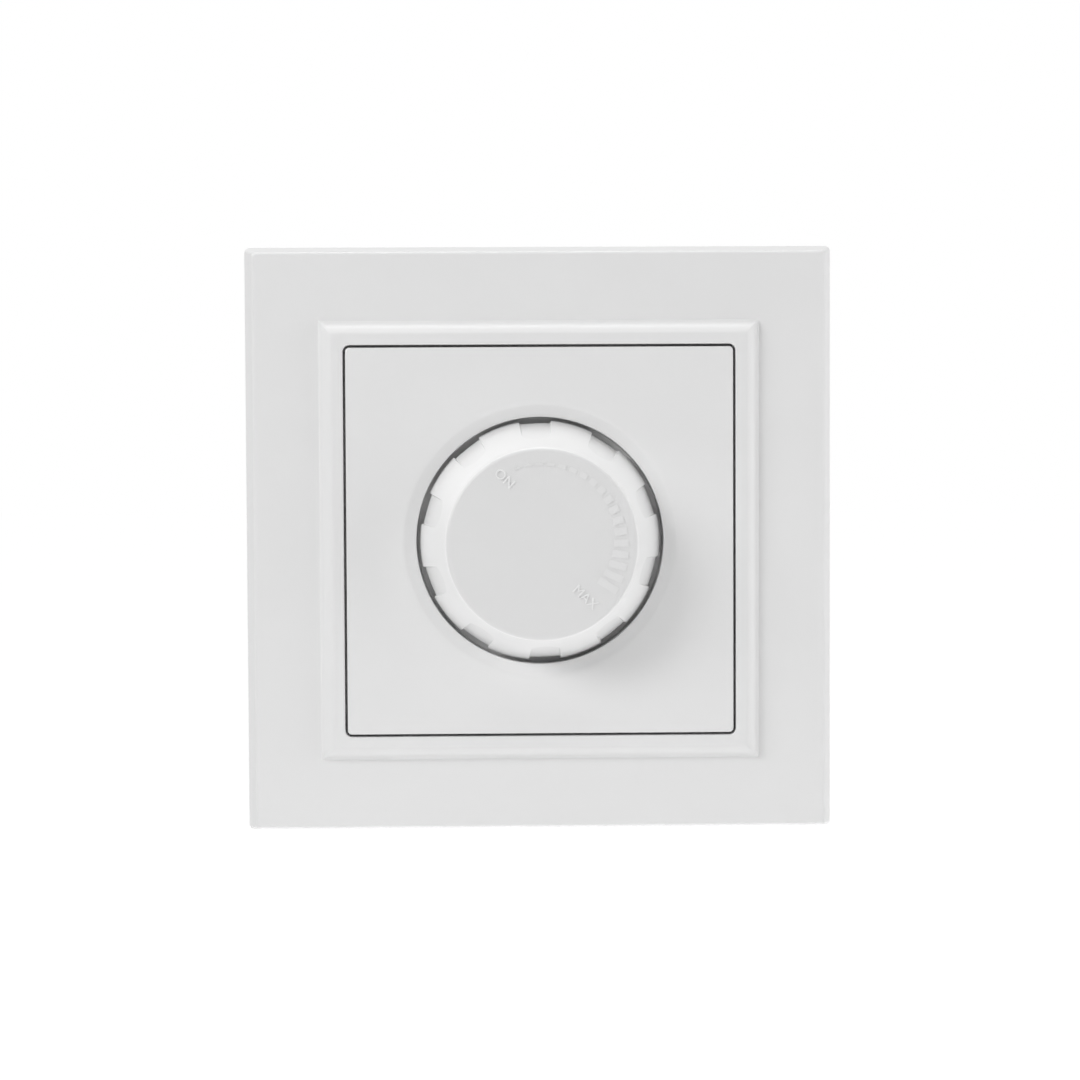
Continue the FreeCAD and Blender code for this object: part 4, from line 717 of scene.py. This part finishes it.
def raised_word(text, width, height, relief):
    """A word as a mesh of the given width and height whose strokes stand relief above their own
    plane and reach as far below it."""
    curve = bpy.data.curves.new(text, "FONT")
    curve.body = text
    curve.align_x, curve.align_y = "CENTER", "CENTER"
    curve.resolution_u = 4
    curve.extrude = 0.5  # any depth, because the mesh is scaled to its relief
    lettering = bpy.data.objects.new(text, curve)
    bpy.context.scene.collection.objects.link(lettering)
    bpy.context.view_layer.update()
    shaped = lettering.evaluated_get(bpy.context.evaluated_depsgraph_get())
    mesh = bpy.data.meshes.new_from_object(shaped)
    bpy.data.objects.remove(lettering)
    points = np.empty(len(mesh.vertices) * 3)
    mesh.vertices.foreach_get("co", points)
    points = points.reshape(-1, 3)
    low, high = points.min(axis=0), points.max(axis=0)
    points = (points - (low + high) / 2) / (high - low) * (width, height, 2 * relief)
    mesh.vertices.foreach_set("co", points.ravel())
    return mesh


def place_on_face(radius, bearing, turned, level):
    """Place of a mark: out from the axis along a bearing, clockwise from the top, and turned
    clockwise with the knob. The mark's own third axis points to the room."""
    flat = Matrix.Rotation(math.pi / 2, 4, "X")
    spot = Vector((radius * math.sin(bearing), -level, radius * math.cos(bearing)))
    return Matrix.Translation(spot) @ Matrix.Rotation(turned, 4, "Y") @ flat


class DIMMER_OT_knob_marks(Operator):
    """Raised marks on the knob's face: two words and a growing wedge of bars"""
    bl_idname = "dimmer.knob_marks"
    bl_label = "Knob marks"

    def execute(self, context):
        scene = context.scene
        s, knob, finishes = scene.dimmer_marks, scene.dimmer_knob, scene.dimmer_finish
        level = knob.rim + knob.height
        # The words' lighter white is a painted highlight
        finish = moulded_plastic("mark_painted_highlight_finish", tuple(finishes.mark_painted_highlight), finishes.gloss)
        # The bars' slightly lighter white is a painted highlight
        plain = moulded_plastic("bar_painted_highlight_finish", tuple(finishes.bar_painted_highlight), finishes.gloss)
        for text, radius, bearing, width in (
                ("ON", s.on_radius, s.on_angle, s.on_width),
                ("MAX", s.full_radius, s.full_angle, s.full_width)):
            mesh = raised_word(text, width, s.letter_height, s.relief)
            mesh.transform(place_on_face(radius, bearing, s.turned, level))
            mesh.name = f"mark_{text.lower()}"
            add_piece(mesh, finish, "dial", None)
        # Bars: each is a block whose reach inwards and outwards grows with a power of its share
        # of the way round
        share = np.arange(s.bars) / (s.bars - 1)
        inward_power, outward_power = 2.2, 1.1
        inner = s.bar_radius - s.bar_thin / 2 - s.bar_inward * share ** inward_power
        outer = s.bar_radius + s.bar_thin / 2 + s.bar_outward * share ** outward_power
        half = np.full(s.bars, s.bar_width / 2)
        outlines = np.stack([np.stack([-half, half, half, -half], axis=1),
                             np.stack([inner, inner, outer, outer], axis=1)], axis=2)
        places = [place_on_face(0, 0, s.bar_start + s.bar_pitch * number, level)
                  for number in range(s.bars)]
        points, faces = blocks(outlines, 2 * s.bar_relief, places)
        add_piece(quad_mesh("mark_wedge", points, faces), plain, "dial", None)
        return {"FINISHED"}


class DIMMER_OT_carried_parts(Operator):
    """Finishes of the parts whose CAD shape is shown as it is"""
    bl_idname = "dimmer.carried_parts"
    bl_label = "Carried parts"

    def execute(self, context):
        finishes = context.scene.dimmer_finish
        housing = moulded_plastic("housing_finish", tuple(finishes.housing_grey), 0.5, 1.2e-5, 0.96)
        black = moulded_plastic("black_moulding_finish", (0.018, 0.018, 0.02), 0.42, 1.5e-5, 0.8)
        nylon = moulded_plastic("nylon_finish", (0.72, 0.69, 0.6), 0.45, 8e-6, 0.96)
        case = moulded_plastic("film_case_finish", (0.62, 0.42, 0.05), 0.32, 8e-6, 0.95)
        zinc = sheet_metal("zinc_sheet_finish", (0.62, 0.63, 0.64), 0.42, (1, 1, 6), 0.16)
        plated = sheet_metal("plated_steel_finish", (0.68, 0.68, 0.66), 0.34, (1, 6, 1))
        spring = sheet_metal("spring_steel_finish", (0.36, 0.37, 0.4), 0.3, (1, 1, 7))
        rod = sheet_metal("turned_rod_finish", (0.78, 0.78, 0.79), 0.28, (1, 14, 1))
        cast = sheet_metal("die_cast_finish", (0.52, 0.53, 0.54), 0.5, (1, 1, 1), 0.0, 8e-6)
        tin = sheet_metal("tin_plate_finish", (0.74, 0.73, 0.7), 0.25, (1, 5, 1))
        brass = sheet_metal("brass_finish", (0.72, 0.5, 0.2), 0.3, (1, 1, 7))
        nickel = sheet_metal("nickel_finish", (0.7, 0.67, 0.6), 0.22, (1, 7, 1))
        tinned = sheet_metal("tinned_finish", (0.7, 0.69, 0.66), 0.32, (1, 7, 1))
        bronze = sheet_metal("spring_bronze_finish", (0.62, 0.36, 0.16), 0.3, (7, 1, 1))
        board = paper_laminate("board_finish", (0.46, 0.27, 0.1))
        low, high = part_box("choke_winding")
        turns = 44
        copper = wound_wire("copper_finish", (low + high) / 2, turns)
        # Metal past the bodies: wire leads, and the power switch's tab and legs
        lead, tab, leg = 1.1 * MM, 6.2 * MM, 1.25 * MM
        low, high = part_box("resistors")
        resistors = banded_body("resistor_finish", (0.55, 0.4, 0.22), [
            (0.23, 0.09, (0.2, 0.06, 0.02)), (0.41, 0.09, (0.02, 0.02, 0.02)),
            (0.58, 0.09, (0.7, 0.3, 0.02)), (0.8, 0.07, (0.5, 0.36, 0.1))],
            low[0] + lead, high[0] - lead)
        low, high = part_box("trigger_diode")
        diode = banded_body("diode_finish", (0.02, 0.06, 0.3), [(0.78, 0.1, (0.02, 0.02, 0.02))],
                            low[0] + lead, high[0] - lead)
        low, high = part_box("power_triac")
        triac = banded_body("power_switch_finish", (0.018, 0.018, 0.02), [],
                            low[0] + tab, high[0] - leg)
        for finish, nodes in {
            housing: ["base_housing", "wire_guide"],
            black: ["switch_cup"],
            nylon: ["rotor"],
            case: ["mains_capacitor", "timing_capacitor"],
            zinc: ["support_plate"],
            plated: ["fixing_nut", "lock_washer", "triac_screw", "live_screw", "load_screw",
                     "two_way_screw", "live_cage", "load_cage", "two_way_cage"],
            spring: ["knob_clip", "spindle_ring"],
            rod: ["spindle"],
            cast: ["pot_bushing"],
            tin: ["pot_can"],
            brass: ["live_bar", "load_bar", "two_way_bar"],
            nickel: ["fuse_caps", "fuse_clips"],
            tinned: ["track_pins", "arm_post", "fixed_contact"],
            bronze: ["wiper", "contact_arm"],
            board: ["circuit_board", "track_wafer"],
            ferrite("ferrite_finish"): ["choke_core"],
            copper: ["choke_winding"],
            resistors: ["resistors"],
            diode: ["trigger_diode"],
            triac: ["power_triac"],
            tube_glass("tube_glass_finish"): ["fuse_tube"],
        }.items():
            for node in nodes:
                dress(node, finish)
        return {"FINISHED"}


# Stage

def floor_finish():
    """Pale floor: white to the camera and in reflections, with the object's shadow kept by a
    share of plain diffuse light."""
    finish = bpy.data.materials.new("floor_finish")
    finish.use_nodes = True
    finish.node_tree.nodes.clear()
    tree = Tree(finish.node_tree)
    matt = tree.add("ShaderNodeBsdfDiffuse", in_Color=(0.9, 0.9, 0.9, 1))
    pale = tree.add("ShaderNodeBsdfDiffuse", in_Color=(0.3, 0.3, 0.3, 1))
    glow = tree.add("ShaderNodeEmission", in_Color=(1, 1, 1, 1), in_Strength=0.94)
    lit = tree.add("ShaderNodeAddShader")
    tree.link(pale, "BSDF", lit, 0)
    tree.link(glow, "Emission", lit, 1)
    seen = seen_rays(tree)
    choice = tree.add("ShaderNodeMixShader")
    tree.link(seen, "Value", choice, 0)
    tree.link(matt, "BSDF", choice, 1)
    tree.link(lit, "Shader", choice, 2)
    output = tree.add("ShaderNodeOutputMaterial")
    tree.link(choice, "Shader", output, "Surface")
    return finish


def seen_rays(tree):
    """1 for rays from the camera, a mirror or glass, and 0 for the light itself."""
    rays = tree.add("ShaderNodeLightPath")
    first = tree.add("ShaderNodeMath", operation="MAXIMUM")
    both = tree.add("ShaderNodeMath", operation="MAXIMUM")
    tree.link(rays, "Is Camera Ray", first, 0)
    tree.link(rays, "Is Glossy Ray", first, 1)
    tree.link(first, "Value", both, 0)
    tree.link(rays, "Is Transmission Ray", both, 1)
    return both


def paint_world(strength):
    world = bpy.data.worlds.new("soft_room")
    world.use_nodes = True
    world.node_tree.nodes.clear()
    tree = Tree(world.node_tree)
    room = tree.add("ShaderNodeBackground", in_Color=(1, 1, 1, 1), in_Strength=strength)
    white = tree.add("ShaderNodeBackground", in_Color=(1, 1, 1, 1), in_Strength=1.0)
    choice = tree.add("ShaderNodeMixShader")
    output = tree.add("ShaderNodeOutputWorld")
    tree.link(seen_rays(tree), "Value", choice, 0)
    tree.link(room, "Background", choice, 1)
    tree.link(white, "Background", choice, 2)
    tree.link(choice, "Shader", output, "Surface")
    bpy.context.scene.world = world


# Soft boxes: name, place, width in metres and power in watts. The two keys stand at the upper
# left, two sides light the right and the top, three rims stand in the wall's plane for the
# edges, and the low one fills in from under the camera.
LAMPS = (
    ("near_key", (-0.55, -0.6, 0.42), 0.25, 2.4),
    ("far_key", (-2.16, -1.26, 1.08), 0.75, 13.1),
    ("right_side", (0.95, -0.28, 0.1), 0.8, 3.4),
    ("top_side", (0.0, -0.3, 0.95), 0.8, 1.85),
    ("right_rim", (0.95, 0.1, 0.0), 0.3, 1.0),
    ("top_rim", (0.0, 0.1, 0.95), 0.3, 2.25),
    ("under_rim", (0.0, 0.03, -0.24), 0.2, 0.18),
    ("low_fill", (0.0, -0.42, -0.2), 0.3, 0.33),
)


def add_lamp(name, place, width, power):
    lamp = bpy.data.lights.new(name, "AREA")
    lamp.shape = "SQUARE"
    lamp.size = width
    lamp.energy = power
    thing = bpy.data.objects.new(name, lamp)
    thing.location = place
    thing.rotation_euler = (-Vector(place)).to_track_quat("-Z", "Y").to_euler()
    bpy.context.scene.collection.objects.link(thing)


class DIMMER_OT_stage(Operator):
    """Floor, room light, lamps and camera"""
    bl_idname = "dimmer.stage"
    bl_label = "Stage"

    def execute(self, context):
        s = context.scene.dimmer_stage
        mesh = bpy.data.meshes.new("floor")
        reach, level = 6.0, s.floor_level
        mesh.from_pydata([(-reach, -reach, level), (reach, -reach, level),
                          (reach, reach, level), (-reach, reach, level)], [], [(0, 1, 2, 3)])
        floor = bpy.data.objects.new("floor", mesh)
        mesh.materials.append(floor_finish())
        context.scene.collection.objects.link(floor)
        paint_world(s.world)
        for name, place, width, power in LAMPS:
            add_lamp(name, place, width, power * s.lamps)
        # Camera on a line from the target, turned about it, then rolled
        target = Vector((s.target_x, 0, s.target_z))
        away = Vector((math.sin(s.azimuth) * math.cos(s.elevation),
                       -math.cos(s.azimuth) * math.cos(s.elevation), math.sin(s.elevation)))
        data = bpy.data.cameras.new("camera")
        data.sensor_width = SENSOR
        data.lens = s.scale / MM * s.distance / PICTURE * data.sensor_width
        data.clip_start, data.clip_end = 0.01, 50.0
        camera = bpy.data.objects.new("camera", data)
        camera.location = target + away * s.distance
        facing = (-away).to_track_quat("-Z", "Y").to_matrix().to_4x4()
        camera.rotation_euler = (facing @ Matrix.Rotation(-s.roll, 4, "Z")).to_euler()
        context.scene.collection.objects.link(camera)
        context.scene.camera = camera
        context.scene.view_settings.view_transform = "Standard"
        return {"FINISHED"}


class DIMMER_PT_panel(Panel):
    bl_idname = "DIMMER_PT_panel"
    bl_label = "Rotary dimmer"
    bl_space_type = "VIEW_3D"
    bl_region_type = "UI"
    bl_category = "Dimmer"

    def draw(self, context):
        for operator in OPERATORS:
            self.layout.operator(operator.bl_idname)


SETTINGS = {
    "dimmer_frame": FrameSizes, "dimmer_plate": PlateSizes, "dimmer_knob": KnobSizes,
    "dimmer_marks": MarkSizes, "dimmer_finish": Finishes, "dimmer_stage": StageSettings,
}
OPERATORS = (DIMMER_OT_cover_frame, DIMMER_OT_centre_plate, DIMMER_OT_knob, DIMMER_OT_knob_marks,
             DIMMER_OT_carried_parts, DIMMER_OT_stage)


def register():
    for group in (*SETTINGS.values(), *OPERATORS, DIMMER_PT_panel):
        bpy.utils.register_class(group)
    for name, group in SETTINGS.items():
        setattr(bpy.types.Scene, name, PointerProperty(type=group))


def unregister():
    for name in SETTINGS:
        delattr(bpy.types.Scene, name)
    for group in reversed((*SETTINGS.values(), *OPERATORS, DIMMER_PT_panel)):
        bpy.utils.unregister_class(group)


def main():
    register()
    bpy.ops.dimmer.cover_frame()
    bpy.ops.dimmer.centre_plate()
    bpy.ops.dimmer.knob()
    bpy.ops.dimmer.knob_marks()
    bpy.ops.dimmer.carried_parts()
    bpy.ops.dimmer.stage()


if __name__ == "__main__":
    main()
